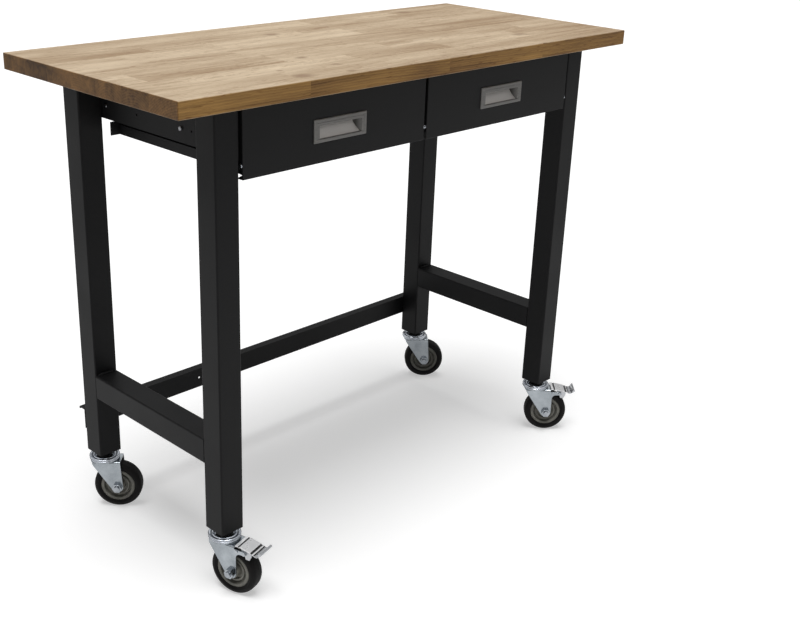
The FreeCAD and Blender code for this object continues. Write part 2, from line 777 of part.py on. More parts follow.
front_inner_x = d.drawer_middle_gap / 2
front_outer_x = leg_inner_x - d.drawer_side_gap
tray_inner_x = hanger_x + d.slide_thickness
tray_outer_x = carrier_inner_x - d.slide_thickness
tray_front = front_face + d.drawer_sheet
tray_y = (tray_front, tray_front + d.drawer_box_depth)
tray_bottom = front_bottom + d.drawer_box_rise
tray_z = (tray_bottom, tray_bottom + d.drawer_box_height)
pull_centre_x = (front_inner_x + front_outer_x) / 2
pull_centre_z = front_bottom + d.pull_rise
cup_centre_z = pull_centre_z - d.cup_drop
cup_half_x = d.cup_length / 2
cup_half_z = d.cup_height / 2
cutout_half_x = cup_half_x + d.cup_wall + d.cup_clearance
cutout_half_z = cup_half_z + d.cup_wall + d.cup_clearance


def inset(bounds, wall):
    """Bounds moved inwards by a wall."""
    return bounds[0] + wall, bounds[1] - wall


def cup_hole(name, x, y):
    """A tool for the opening that the pull's cup passes through."""
    return box(name, (x - cutout_half_x, x + cutout_half_x), y,
               (cup_centre_z - cutout_half_z, cup_centre_z + cutout_half_z))


def front_screw_rods(name, side, radius, head_radius, head_height):
    """Bars through both side walls of a drawer front and its brackets, with heads outside."""
    y = front_face + d.front_screw_setback
    z = front_bottom + d.front_screw_rise
    screws = []
    for label, x, towards in (("inner", front_inner_x * side, side), ("outer", front_outer_x * side, -side)):
        shank_x = ordered(x, x + d.drawer_sheet * 2 * towards)[0]
        head_x = ordered(x, x - head_height * towards)[0]
        shank = rod(f"{name}_{label}_shank", radius, d.drawer_sheet * 2, (shank_x, y, z), X_AXIS)
        head = rod(f"{name}_{label}_head", head_radius, head_height, (head_x, y, z), X_AXIS)
        screws.append(fuse(f"{name}_{label}", [shank, head]))
    return screws


def drawer_front(name, side):
    """A shallow folded pan with rounded outer edges, notched lower corners and an opening for the pull."""
    low_x, high_x = mirrored_span(side, front_inner_x, front_outer_x)
    low = (low_x, front_bottom)
    high = (high_x, front_bottom + d.drawer_front_height)
    pan = padded(name + "_pan", "XZ_Plane", [rectangle(low, high)], d.drawer_front_depth,
                 (0, 0, -(front_face + d.drawer_front_depth)))
    rounded(pan, d.drawer_front_edge_radius, lambda middle, edge: near(middle.y, front_face)
            or runs_along(edge, "y"))
    hollow_y = (front_face + d.drawer_sheet, front_face + d.drawer_front_depth)
    hollow = box(name + "_hollow", inset((low[0], high[0]), d.drawer_sheet), hollow_y,
                 inset((low[1], high[1]), d.drawer_sheet))
    opening = cup_hole(name + "_opening", pull_centre_x * side, (front_face, front_face + d.drawer_sheet))
    notch_rear = d.drawer_front_depth
    notch = [(d.front_notch_start, d.front_notch_height), (notch_rear, d.drawer_sheet),
             (notch_rear, d.front_notch_height + d.front_notch_slope)]
    notches = padded(name + "_notches", "YZ_Plane", [notch], high_x - low_x, middle=True)
    place(notches, (low_x + high_x) / 2, front_face, front_bottom)
    drills = front_screw_rods(name + "_drill", side, screw_hole, screw_hole, d.screw_head_height)
    return cut(name, pan, [fuse(name + "_inside", [hollow, opening]), notches] + drills)


def front_brackets(name, side):
    """Drilled angle brackets from the tray's front corners to the side walls of the drawer front."""
    screw_z = front_bottom + d.front_screw_rise
    bracket_z = (screw_z - d.front_bracket_height / 2, screw_z + d.front_bracket_height / 2)
    strip_y = (tray_front, tray_front + d.drawer_sheet)
    fold_y = (tray_front, tray_front + d.front_bracket_depth)
    inner_wall = front_inner_x + d.drawer_sheet
    outer_wall = front_outer_x - d.drawer_sheet
    places = (("inner", (inner_wall, tray_inner_x), (inner_wall, inner_wall + d.drawer_sheet)),
              ("outer", (tray_outer_x, outer_wall), (outer_wall - d.drawer_sheet, outer_wall)))
    drills = front_screw_rods(name + "_drill", side, screw_hole, screw_hole, d.screw_head_height)
    brackets = []
    for drill, (label, strip_x, fold_x) in zip(drills, places):
        strip = box(f"{name}_{label}_strip", mirrored_span(side, *strip_x), strip_y, bracket_z)
        fold = box(f"{name}_{label}_fold", mirrored_span(side, *fold_x), fold_y, bracket_z)
        brackets.append(cut(f"{name}_{label}", fuse(f"{name}_{label}_angle", [strip, fold]), [drill]))
    return brackets


def drawer_tray(name, side):
    """An open tray of folded sheet with an opening in its front wall for the pull, and two front brackets."""
    tray_x = mirrored_span(side, tray_inner_x, tray_outer_x)
    block = box(name + "_block", tray_x, tray_y, tray_z)
    room = box(name + "_room", inset(tray_x, d.drawer_sheet), inset(tray_y, d.drawer_sheet),
               (tray_z[0] + d.drawer_sheet, tray_z[1]))
    opening = cup_hole(name + "_opening", pull_centre_x * side, (tray_y[0], tray_y[0] + d.drawer_sheet))
    drills = slide_screw_rods(name + "_outer_drill", tray_outer_x * side, -side, screw_hole)
    drills += slide_screw_rods(name + "_inner_drill", tray_inner_x * side, side, screw_hole)
    tray = cut(name + "_folded", block, [fuse(name + "_inside", [room, opening])] + drills)
    return group(name, [tray] + front_brackets(name + "_bracket", side))


def cup_section(wall):
    """The cup's cross-section, deep at the top and shallow at the bottom, grown by a wall."""
    half = cup_half_z + wall
    return [(-half, -d.pull_plate), (-half, d.cup_shallow_depth - d.pull_plate + wall),
            (half, d.cup_depth - d.pull_plate + wall), (half, -d.pull_plate)]


def drawer_pull(name, side):
    """A cast pull: a rim plate on the drawer front and a sloping cup behind it."""
    half_x = d.pull_length / 2
    half_z = d.pull_height / 2
    x = pull_centre_x * side
    rim = padded(name + "_rim", "XZ_Plane", [rectangle((-half_x, -half_z), (half_x, half_z))],
                 d.pull_plate)
    rounded(rim, d.pull_corner_radius, lambda middle, edge: runs_along(edge, "y"))
    place(rim, x, front_face, pull_centre_z)
    shell = padded(name + "_shell", "YZ_Plane", [[(up, across) for across, up in cup_section(d.cup_wall)]],
                   d.cup_length + d.cup_wall * 2, middle=True)
    place(shell, x, front_face, cup_centre_z)
    scoop = padded(name + "_scoop", "YZ_Plane", [[(up, across) for across, up in cup_section(0)]],
                   d.cup_length, middle=True)
    place(scoop, x, front_face, cup_centre_z)
    return cut(name, fuse(name + "_casting", [rim, shell]), [scoop])


for side_name, side in SIDES.items():
    drawer = f"{side_name}_drawer"
    outside_slide = slide_set(f"{drawer}_outside", carrier_inner_x * side, -side)
    middle_slide = slide_set(f"{drawer}_centre", hanger_x * side, side)
    for index, member in enumerate(("outer", "middle", "inner")):
        pair = group(f"{drawer}_{member}_pair", [outside_slide[index], middle_slide[index]])
        finish(pair, f"{drawer}_slide_{member}")
    front_screws = front_screw_rods(f"{drawer}_front_screw", side, d.screw_radius,
                                    d.screw_head_radius, d.screw_head_height)
    screw_set = group(f"{drawer}_screw_set", outside_slide[3] + middle_slide[3] + front_screws)
    finish(screw_set, f"{drawer}_slide_screws")
    finish(drawer_front(f"{drawer}_panel", side), f"{drawer}_front")
    finish(drawer_tray(f"{drawer}_tray", side), f"{drawer}_box")
    finish(drawer_pull(f"{drawer}_handle", side), f"{drawer}_pull")

# Castors, each built round its own swivel axis with its trail along X, then turned and moved

axle_height = d.wheel_radius
crown_low = d.wheel_radius * 2 + d.crown_clearance
crown_high = crown_low + d.fork_sheet
race_high = crown_high + d.race_height
cap_low = race_high + d.race_clearance
cap_high = cap_low + d.cap_thickness
cap_rim_low = cap_low - d.cap_rim_drop
cap_dish_floor = cap_high - d.cap_dish
fork_width = d.fork_gap + d.fork_sheet * 2
king_pin_hole = d.stem_radius + d.running_clearance
fork_rear_edge = d.castor_trail + d.fork_boss_radius
arm_low = d.brake_pivot_height - d.brake_arm_depth / 2
arm_high = d.brake_pivot_height + d.brake_arm_depth / 2
king_pin_low = crown_low - d.race_clearance - d.king_pin_head_height


def castor_stem(name):
    """Stem, shoulder, pressed cap and king pin of the part that stays still, with its nut."""
    head_high = crown_low - d.race_clearance
    profile = [
        (0, king_pin_low), (d.king_pin_head_radius, king_pin_low), (d.king_pin_head_radius, head_high),
        (d.stem_radius, head_high), (d.stem_radius, cap_low), (d.cap_radius - d.cap_rim, cap_low),
        (d.cap_radius - d.cap_rim, cap_rim_low), (d.cap_radius, cap_rim_low), (d.cap_radius, cap_high),
        (d.cap_radius - d.cap_top_rim, cap_high), (d.cap_radius - d.cap_top_rim, cap_dish_floor),
        (d.shoulder_radius, cap_dish_floor), (d.shoulder_radius, d.castor_height),
        (d.stem_radius, d.castor_height), (d.stem_radius, plate_top + d.stem_length),
        (0, plate_top + d.stem_length),
    ]
    stem = turned(name + "_turned", "XZ_Plane", profile, "V_Axis")
    rounded(stem, d.cap_edge_radius, lambda middle, edge: near(edge.Vertexes[0].Z, cap_high)
            and near(edge.BoundBox.XMax, d.cap_radius))
    nut = hexagon(name + "_nut_body", d.stem_nut_flats, d.stem_nut_height, (0, 0, plate_top))
    thread = rod(name + "_nut_drill", d.stem_radius + d.fastener_clearance, d.stem_nut_height,
                 (0, 0, plate_top))
    return group(name, [stem, cut(name + "_nut", nut, [thread])])


def castor_collar(name):
    """The dark sleeve round the stem's shoulder, between the cap and the leg."""
    length = d.castor_height - cap_dish_floor
    sleeve = rod(name + "_sleeve", d.collar_radius, length, (0, 0, cap_dish_floor))
    bore = rod(name + "_bore", d.shoulder_radius + d.fastener_clearance, length, (0, 0, cap_dish_floor))
    return cut(name, sleeve, [bore])


def fork_outline(braked):
    """The side outline of a fork as (along the trail, up), with an arm for the brake where it has one."""
    front_top = (-d.fork_front_reach, crown_high)
    toe = (d.castor_trail - d.fork_toe_reach, axle_height - d.fork_toe_drop)
    axle_rear = (fork_rear_edge, axle_height)
    rear_top = (d.fork_rear_reach, crown_high)
    if not braked:
        return [front_top, toe, axle_rear, rear_top]
    return [front_top, toe, axle_rear, (fork_rear_edge, arm_low), (d.brake_arm_reach, arm_low),
            (d.brake_arm_reach, arm_high), (d.fork_rear_reach, arm_high), rear_top]


def castor_fork(name, braked):
    """A pressed fork: two side plates and a crown, with a race ring for the swivel bearing."""
    half = fork_width / 2
    plates = padded(name + "_plates", "XZ_Plane", [fork_outline(braked)], fork_width, middle=True)
    rounded(plates, d.fork_bend_radius, lambda middle, edge: runs_along(edge, "x")
            and near(middle.z, crown_high) and near(abs(middle.y), half))
    if braked:
        rounded(plates, d.brake_arm_round, lambda middle, edge: runs_along(edge, "y")
                and near(middle.x, fork_rear_edge) and near(middle.z, arm_low))
        rounded(plates, d.brake_arm_end_round, lambda middle, edge: runs_along(edge, "y")
                and near(middle.x, d.brake_arm_reach))
    reach = d.brake_arm_reach + d.fork_sheet
    boss = rod(name + "_boss", d.fork_boss_radius, fork_width, (d.castor_trail, -half, axle_height), Y_AXIS)
    room = box(name + "_room", (-reach, reach), (-d.fork_gap / 2, d.fork_gap / 2),
               (axle_height - d.wheel_radius, crown_low))
    shell = cut(name + "_shell", fuse(name + "_blank", [plates, boss]), [room])
    disc = rod(name + "_plan_disc", d.crown_radius, crown_high, (0, 0, 0))
    tail = box(name + "_plan_tail", (0, reach), (-half, half), (0, crown_high))
    trimmed = common(name + "_trimmed", shell, fuse(name + "_plan", [disc, tail]))
    dish = rod(name + "_dish", d.dish_radius, d.dish_height, (0, 0, crown_high))
    race = rod(name + "_race", d.race_radius, d.race_height, (0, 0, crown_high))
    drills = [
        rod(name + "_king_pin_drill", king_pin_hole, crown_high + d.race_height, (0, 0, 0)),
        rod(name + "_axle_drill", d.axle_radius + d.fastener_clearance, fork_width,
            (d.castor_trail, -half, axle_height), Y_AXIS),
    ]
    if braked:
        drills.append(rod(name + "_pivot_drill", d.brake_pivot_radius + d.fastener_clearance, fork_width,
                          (d.brake_pivot_reach, -half, d.brake_pivot_height), Y_AXIS))
        drills.append(rod(name + "_stud_drill", d.brake_stud_radius + d.fastener_clearance, fork_width,
                          (d.brake_stud_reach, -half, d.brake_stud_height), Y_AXIS))
    return cut(name, fuse(name + "_pressed", [trimmed, dish, race]), drills)


def castor_axle(name):
    """An axle bolt with its sleeve and nut."""
    half = fork_width / 2
    x, z = d.castor_trail, axle_height
    shank_length = fork_width + d.axle_head_height + d.axle_thread_end
    head = hexagon(name + "_head", d.axle_head_flats, d.axle_head_height, (x, half, z), Y_AXIS)
    shank = rod(name + "_shank", d.axle_radius, shank_length, (x, half - shank_length, z), Y_AXIS)
    bore = d.axle_radius + d.fastener_clearance
    nut_start = -half - d.axle_head_height
    nut = hexagon(name + "_nut_body", d.axle_head_flats, d.axle_head_height, (x, nut_start, z), Y_AXIS)
    nut_bore = rod(name + "_nut_bore", bore, d.axle_head_height, (x, nut_start, z), Y_AXIS)
    sleeve_start = -d.fork_gap / 2
    sleeve = rod(name + "_sleeve_body", d.axle_sleeve_radius, d.fork_gap, (x, sleeve_start, z), Y_AXIS)
    sleeve_bore = rod(name + "_sleeve_bore", bore, d.fork_gap, (x, sleeve_start, z), Y_AXIS)
    return group(name, [fuse(name + "_bolt", [head, shank]), cut(name + "_nut", nut, [nut_bore]),
                        cut(name + "_sleeve", sleeve, [sleeve_bore])])


wheel_centre = (0, axle_height, d.castor_trail)


def castor_tyre(name):
    """A rubber tyre with a rounded tread, turned round the axle."""
    half = d.tyre_width / 2
    seat = d.hub_radius + d.tyre_seat_clearance
    section = rectangle((-half, seat), (half, d.wheel_radius))
    tyre = turned(name, "YZ_Plane", section, "H_Axis", wheel_centre)
    diameter = d.wheel_radius * 2
    return rounded(tyre, d.tread_round, lambda middle, edge: near(edge.BoundBox.ZLength, diameter))


def castor_hub(name):
    """A moulded hub: a rim, a thin web and a boss that turns on the axle sleeve."""
    rim, web = d.hub_width / 2, d.hub_web / 2
    boss = d.fork_gap / 2 - d.hub_side_clearance
    bore = d.axle_sleeve_radius + d.running_clearance
    rim_seat = d.hub_radius - d.hub_rim
    right = [(boss, bore), (boss, d.hub_boss_radius), (web, d.hub_boss_radius), (web, rim_seat),
             (rim, rim_seat), (rim, d.hub_radius)]
    left = [(-across, up) for across, up in reversed(right)]
    return turned(name, "YZ_Plane", right + left, "H_Axis", wheel_centre)


# Brakes of the front castors: a pressed pedal that tilts on a pin and pushes a bar on the tyre

plate_height = d.brake_pivot_height + d.pedal_rise
cheek_outer = d.fork_gap / 2 - d.pedal_cheek_side_gap
pedal_points = [
    (d.pedal_start, plate_height), (d.pedal_bend, plate_height),
    (d.pedal_tread_end, plate_height - d.pedal_tread_fall),
    (d.pedal_toe_start, plate_height - d.pedal_toe_fall),
    (d.pedal_toe_bend, plate_height - d.pedal_toe_fall),
    (d.pedal_tip, plate_height - d.pedal_toe_fall + d.pedal_tip_rise),
]
tread_slope = d.pedal_tread_fall / (d.pedal_tread_end - d.pedal_bend)


def tread_underside(reach):
    """Height of the pedal's underside at a distance from the swivel axis, on its sloping tread."""
    return plate_height - d.pedal_sheet - (reach - d.pedal_bend) * tread_slope


def brake_pedal(name):
    """A bent pedal plate with a slot across it and two cheeks that hang on the pin."""
    lower = [(across, up - d.pedal_sheet) for across, up in reversed(pedal_points)]
    plate = padded(name + "_plate", "XZ_Plane", [pedal_points + lower], d.pedal_width, middle=True)
    slot_half = d.pedal_width / 2 - d.pedal_slot_inset
    slot = box(name + "_slot", (d.pedal_slot_reach, d.pedal_slot_reach + d.pedal_slot_width),
               (-slot_half, slot_half), (plate_height - d.pedal_sheet, plate_height))
    bar_low = d.brake_bar_height - d.brake_bar_radius - d.brake_bar_wall
    bar_front = d.brake_bar_reach - d.brake_bar_radius
    bar_rear = d.brake_bar_reach + d.brake_bar_radius
    profile = [
        (d.pedal_cheek_start, tread_underside(d.pedal_cheek_start)),
        (d.pedal_cheek_start, d.brake_pivot_height), (d.brake_pivot_reach, arm_low),
        (bar_front, bar_low), (bar_rear, bar_low), (d.pedal_cheek_end, arm_low),
        (d.pedal_cheek_end, tread_underside(d.pedal_cheek_end)),
    ]
    cheeks = []
    for label, start in (("near", -cheek_outer), ("far", cheek_outer - d.pedal_cheek_sheet)):
        cheek = padded(f"{name}_cheek_{label}", "XZ_Plane", [profile], d.pedal_cheek_sheet,
                       (0, 0, -(start + d.pedal_cheek_sheet)))
        cheeks.append(cheek)
    drill = rod(name + "_drill", d.brake_pivot_radius + d.running_clearance, fork_width,
                (d.brake_pivot_reach, -fork_width / 2, d.brake_pivot_height), Y_AXIS)
    return cut(name, fuse(name + "_bent", [plate] + cheeks), [drill, slot])


def brake_bar(name):
    """The round bar between the pedal's cheeks that meets the tyre."""
    half = cheek_outer - d.pedal_cheek_sheet
    bar = rod(name + "_round", d.brake_bar_radius, half * 2,
              (d.brake_bar_reach, -half, d.brake_bar_height), Y_AXIS)
    return group(name, [bar])


def brake_pivot(name):
    """The pedal's pin across the fork's arms, and a stud in each arm beside it."""
    half = fork_width / 2
    head = d.brake_pivot_head_height
    x, z = d.brake_pivot_reach, d.brake_pivot_height
    pieces = [fuse(name + "_riveted", [
        rod(name + "_pin", d.brake_pivot_radius, fork_width, (x, -half, z), Y_AXIS),
        rod(name + "_head", d.brake_pivot_head_radius, head, (x, half, z), Y_AXIS),
        rod(name + "_tail", d.brake_pivot_head_radius, head, (x, -half - head, z), Y_AXIS),
    ])]
    x, z = d.brake_stud_reach, d.brake_stud_height
    for label, shank_y, head_y in (("near", -half, -half - head), ("far", d.fork_gap / 2, half)):
        pieces.append(fuse(f"{name}_stud_{label}", [
            rod(f"{name}_stud_{label}_shank", d.brake_stud_radius, d.fork_sheet, (x, shank_y, z), Y_AXIS),
            rod(f"{name}_stud_{label}_head", d.brake_stud_head_radius, head, (x, head_y, z), Y_AXIS),
        ]))
    return group(name, pieces)


collars = []
for corner, (x, y, swivel, braked) in CORNERS.items():
    castor = f"castor_{corner}"
    pieces = {
        "stem": castor_stem(f"{castor}_support"),
        "fork": castor_fork(f"{castor}_yoke", braked),
        "axle": castor_axle(f"{castor}_pin"),
        "tyre": castor_tyre(f"{castor}_ring"),
        "hub": castor_hub(f"{castor}_core"),
    }
    if braked:
        pieces["brake_pivot"] = brake_pivot(f"{castor}_rivet")
        pieces["brake_pedal"] = brake_pedal(f"{castor}_lever")
        pieces["brake_bar"] = brake_bar(f"{castor}_presser")
    for piece, item in pieces.items():
        finish(place(item, x, y, 0, swivel), f"{castor}_{piece}")
    collars.append(place(castor_collar(f"{castor}_shroud"), x, y, 0))
finish(group("collar_set", collars), "castor_collars")

# Check every object, then write one file for each sub-part

doc.recompute()
for item in doc.Objects:
    if "Invalid" in item.State or "Error" in item.State:
        raise RuntimeError(f"{item.Label} failed: {item.State}")
os.makedirs("parts", exist_ok=True)
for item in nodes:
    if item.Shape.isNull() or not item.Shape.isValid():
        raise RuntimeError(f"{item.Label} has no valid shape")
for item in nodes:
    item.Shape.exportStep(f"parts/{item.Label}.step")
print(f"{len(nodes)} sub-parts, {sum(len(item.Shape.Solids) for item in nodes)} solids")
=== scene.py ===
import json

import bpy
import numpy as np
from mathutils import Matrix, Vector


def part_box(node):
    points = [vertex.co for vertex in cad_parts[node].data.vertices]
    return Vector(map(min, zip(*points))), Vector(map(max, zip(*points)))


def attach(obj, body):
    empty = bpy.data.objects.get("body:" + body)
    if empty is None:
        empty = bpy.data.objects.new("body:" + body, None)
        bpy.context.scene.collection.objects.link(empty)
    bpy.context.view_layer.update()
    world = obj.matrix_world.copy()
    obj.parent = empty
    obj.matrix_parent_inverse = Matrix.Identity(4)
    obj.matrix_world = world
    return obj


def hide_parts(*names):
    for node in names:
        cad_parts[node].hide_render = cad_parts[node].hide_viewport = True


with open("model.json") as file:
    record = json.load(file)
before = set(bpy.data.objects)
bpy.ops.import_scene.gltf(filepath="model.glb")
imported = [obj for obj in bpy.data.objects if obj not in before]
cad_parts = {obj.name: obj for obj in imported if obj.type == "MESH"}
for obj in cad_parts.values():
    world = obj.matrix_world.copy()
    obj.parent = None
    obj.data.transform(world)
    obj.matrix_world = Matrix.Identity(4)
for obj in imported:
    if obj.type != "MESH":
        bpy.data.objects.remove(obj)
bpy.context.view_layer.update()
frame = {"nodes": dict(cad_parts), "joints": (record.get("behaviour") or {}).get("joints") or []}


# Welded tube frame
# Four legs and two side rails of 50 mm square steel tube, welded together, blasted and powder coated.
# The baked powder flows into a fine orange peel, so the black has a soft satin sheen and no hard shine.

def linear(hex_colour):
    """An sRGB hex colour as linear red, green, blue and an alpha of one."""
    level = np.array([int(hex_colour[i:i + 2], 16) for i in (1, 3, 5)]) / 255
    curve = np.where(level <= 0.04045, level / 12.92, ((level + 0.055) / 1.055) ** 2.4)
    return (*curve.tolist(), 1.0)


def plug(tree, node, inputs):
    """Sets each named input of a node to a value, or links it where the value is another node's output."""
    for name, value in inputs.items():
        if isinstance(value, bpy.types.NodeSocket):
            tree.links.new(value, node.inputs[name])
        else:
            node.inputs[name].default_value = value


def add(tree, kind, inputs, **settings):
    """Adds one node to a tree, with its settings, values and links."""
    node = tree.nodes.new("ShaderNode" + kind)
    for name, value in settings.items():
        setattr(node, name, value)
    plug(tree, node, inputs)
    return node


def new_finish(name):
    """A new material with its node tree, its shader and the piece's own coordinates in metres."""
    material = bpy.data.materials.new(name)
    material.use_nodes = True
    tree = material.node_tree
    place = add(tree, "TexCoord", {}).outputs["Object"]
    return material, tree, tree.nodes["Principled BSDF"], place


def two_tone(tree, share, dark, pale, low=0.0, high=1.0):
    """The colour that runs from dark to pale as a share climbs from its low to its high value."""
    ramp = add(tree, "ValToRGB", {"Fac": share})
    for end, position, colour in zip(ramp.color_ramp.elements, (low, high), (dark, pale)):
        end.position = position
        end.color = linear(colour)
    return ramp.outputs["Color"]


nodes = frame["nodes"]


def dress(material, names):
    """Gives every named node of the frame one material."""
    for name in names:
        nodes[name].data.materials.clear()
        nodes[name].data.materials.append(material)


# Black polyester powder coat on mild steel: a dark satin film with orange peel and a few pale dust specks.
# The real peel is about 2 mm across; it is drawn at 5 mm so that it shows.
MM = 0.001
COAT_PEEL = 5 * MM
COAT_PEEL_DEPTH = 0.4 * MM
COAT_CLOUD = 180 * MM
COAT_SPECK = 3 * MM
COAT_DUST = "#2b2b2c"


def powder_coat(name, dark, pale, sheen_low, sheen_high):
    """Powder coat whose tone and gloss drift between two values over a hand's width, with peel as bump."""
    material, tree, shader, place = new_finish(name)
    cloud = add(tree, "TexNoise", {"Vector": place, "Scale": 1 / COAT_CLOUD, "Detail": 3.0})
    peel = add(tree, "TexNoise", {"Vector": place, "Scale": 1 / COAT_PEEL, "Detail": 2.0})
    speck = add(tree, "TexVoronoi", {"Vector": place, "Scale": 1 / COAT_SPECK})
    fleck = add(tree, "MapRange", {"Value": speck.outputs["Distance"], "From Min": 0.05, "From Max": 0.14,
                                   "To Min": 0.35, "To Max": 0.0})
    tone = two_tone(tree, cloud.outputs["Fac"], dark, pale, 0.35, 0.68)
    dusted = add(tree, "MixRGB", {"Fac": fleck.outputs["Result"], "Color1": tone,
                                  "Color2": linear(COAT_DUST)})
    sheen = add(tree, "MapRange", {"Value": cloud.outputs["Fac"], "From Min": 0.3, "From Max": 0.7,
                                   "To Min": sheen_low, "To Max": sheen_high})
    bump = add(tree, "Bump", {"Height": peel.outputs["Fac"], "Strength": 0.18, "Distance": COAT_PEEL_DEPTH})
    plug(tree, shader, {"Base Color": dusted.outputs["Color"], "Roughness": sheen.outputs["Result"],
                        "Specular IOR Level": 0.15, "Normal": bump.outputs["Normal"]})
    return material


frame_coat = powder_coat("black_powder_coat", "#111112", "#161617", 0.46, 0.56)
dress(frame_coat, ["leg_front_left", "leg_front_right", "leg_rear_left", "leg_rear_right",
                   "side_rail_left", "side_rail_right"])


# Rail welds
# Each side rail is welded to its two legs along its top and bottom face before coating.
# A hand-laid bead of overlapping ripples, about 4 mm high, that the black coat covers.

def quads(rows, columns, ring_rows=False, ring_columns=False):
    """Corner numbers of a grid's faces: each point with the next one both ways, last to first on a ring."""
    row, column = np.meshgrid(np.arange(rows - (not ring_rows)), np.arange(columns - (not ring_columns)),
                              indexing="ij")
    next_row = (row + 1) % rows
    next_column = (column + 1) % columns
    corners = [row * columns + column, next_row * columns + column,
               next_row * columns + next_column, row * columns + next_column]
    return np.stack(corners, -1).reshape(-1, 4)


def make_piece(name, parts, material, body, replaced=None, smooth=True):
    """One object from (points, faces) parts in metres, riding a body, in place of a node if one is named."""
    counts = np.cumsum([0] + [len(points.reshape(-1, 3)) for points, faces in parts])
    points = np.concatenate([points.reshape(-1, 3) for points, faces in parts])
    faces = np.concatenate([faces + start for (points_of_part, faces), start in zip(parts, counts)])
    mesh = bpy.data.meshes.new(name)
    mesh.from_pydata(points.tolist(), [], faces.tolist())
    mesh.polygons.foreach_set("use_smooth", np.full(len(mesh.polygons), smooth))
    mesh.materials.append(material)
    mesh.update()
    piece = bpy.data.objects.new(name, mesh)
    bpy.context.scene.collection.objects.link(piece)
    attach(piece, body)
    if replaced:
        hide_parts(replaced)
    return piece


WELD_LEG = 4.0 * MM
WELD_RIPPLE = 3.2 * MM
WELD_RIPPLE_SHARE = 0.14
WELD_END = 5.0 * MM
WELD_TIP_SHARE = 0.08
WELD_STEPS = 97
WELD_CORNERS = 7


def weld_bead(start, end, up, out):
    """A bead along a line: a quarter-round profile in the corner of two faces, its size rippling along it."""
    along = np.linspace(0, 1, WELD_STEPS)
    turn = np.linspace(0, np.pi / 2, WELD_CORNERS)
    length = np.linalg.norm(end - start)
    taper = np.clip(np.minimum(along, 1 - along) * length / (2 * WELD_LEG), WELD_TIP_SHARE, 1) ** 0.5
    ripple = 1 - WELD_RIPPLE_SHARE * np.abs(np.sin(np.pi * along * length / WELD_RIPPLE))
    size = (WELD_LEG * taper * ripple)[:, None, None]
    face = np.cos(turn)[None, :, None] * up + np.sin(turn)[None, :, None] * out
    corner = np.zeros((len(along), 1, 3))
    section = np.concatenate([corner, face * size], 1)
    points = (start + (end - start) * along[:, None])[:, None, :] + section
    cap = np.array([(0, 1, 2, 3), (0, 3, 4, 5), (0, 5, 6, 7)])
    far_cap = cap[:, ::-1] + section.shape[1] * (len(along) - 1)
    return points, np.concatenate([quads(*points.shape[:2], ring_columns=True), cap, far_cap])


rail_welds = []
for rail in ("side_rail_left", "side_rail_right"):
    low, high = (np.array(corner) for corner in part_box(rail))
    for y, out in ((low[1], 1.0), (high[1], -1.0)):
        for z, up in ((low[2], -1.0), (high[2], 1.0)):
            ends = [np.array([low[0] + WELD_END, y, z]), np.array([high[0] - WELD_END, y, z])]
            if up * out < 0:
                ends.reverse()
            rail_welds.append(weld_bead(*ends, np.array([0, 0, up]), np.array([0, out, 0])))
make_piece("rail_weld_beads", rail_welds, frame_coat, "frame")


# Folded frame members
# Stretcher, rear panel, side aprons, slide carriers and centre hanger: 1.5 to 2 mm steel sheet,
# punched and folded, coated with the legs' powder and bolted up.

dress(frame_coat, ["rear_stretcher", "rear_panel", "side_apron_left", "side_apron_right",
                   "slide_carrier_left", "slide_carrier_right", "centre_hanger"])


# Bolts, screws and foot plates
# Turned and rolled steel fasteners and the 4 mm plates in the leg ends, all plated with bright zinc.
# Clear passivated zinc: a bluish white metal, cloudy from the bath, with a faint drawn grain.
ZINC_CLOUD = 35 * MM
ZINC_GRAIN = 0.8 * MM
ZINC_GRAIN_DEPTH = 0.1 * MM
ZINC_EDGE = 0.9 * MM
EVEN_GRAIN = (1.0, 1.0, 1.0)


def zinc_plate(name, pale, dull, sheen_low, sheen_high, grain_stretch=EVEN_GRAIN, edge_round=ZINC_EDGE):
    """Plated steel: tone and gloss drift in clouds, a fine grain is drawn one way, and edges look round."""
    material, tree, shader, place = new_finish(name)
    cloud = add(tree, "TexNoise", {"Vector": place, "Scale": 1 / ZINC_CLOUD, "Detail": 4.0, "Roughness": 0.6})
    drawn = add(tree, "Mapping", {"Vector": place, "Scale": grain_stretch})
    grain = add(tree, "TexNoise", {"Vector": drawn.outputs["Vector"], "Scale": 1 / ZINC_GRAIN, "Detail": 2.0})
    tone = two_tone(tree, cloud.outputs["Fac"], dull, pale, 0.3, 0.7)
    sheen = add(tree, "MapRange", {"Value": cloud.outputs["Fac"], "From Min": 0.3, "From Max": 0.7,
                                   "To Min": sheen_high, "To Max": sheen_low})
    edge = add(tree, "Bevel", {"Radius": edge_round})
    bump = add(tree, "Bump", {"Height": grain.outputs["Fac"], "Strength": 0.12, "Distance": ZINC_GRAIN_DEPTH,
                              "Normal": edge.outputs["Normal"]})
    plug(tree, shader, {"Base Color": tone, "Metallic": 1.0, "Roughness": sheen.outputs["Result"],
                        "Normal": bump.outputs["Normal"]})
    return material


fastener_zinc = zinc_plate("bright_zinc_fasteners", "#c6cad0", "#a5aab2", 0.16, 0.28)
dress(fastener_zinc, ["frame_bolts", "worktop_screws", "leg_foot_plates",
                      "left_drawer_slide_screws", "right_drawer_slide_screws"])

# The round-headed bolts of the slide carriers are phosphated: a thin grey skin that shines on the dome.
DOME_EDGE = 3 * MM
phosphate = zinc_plate("grey_phosphated_steel", "#9a9b9e", "#77787b", 0.14, 0.24, edge_round=DOME_EDGE)
dress(phosphate, ["carrier_bolts"])


# Castor pressings
# Fork, cap ring and stem of each castor are pressed from 2.5 mm steel and zinc plated after forming.
# Flat flanks mirror the room softly; the blue tint is the clear passivation.

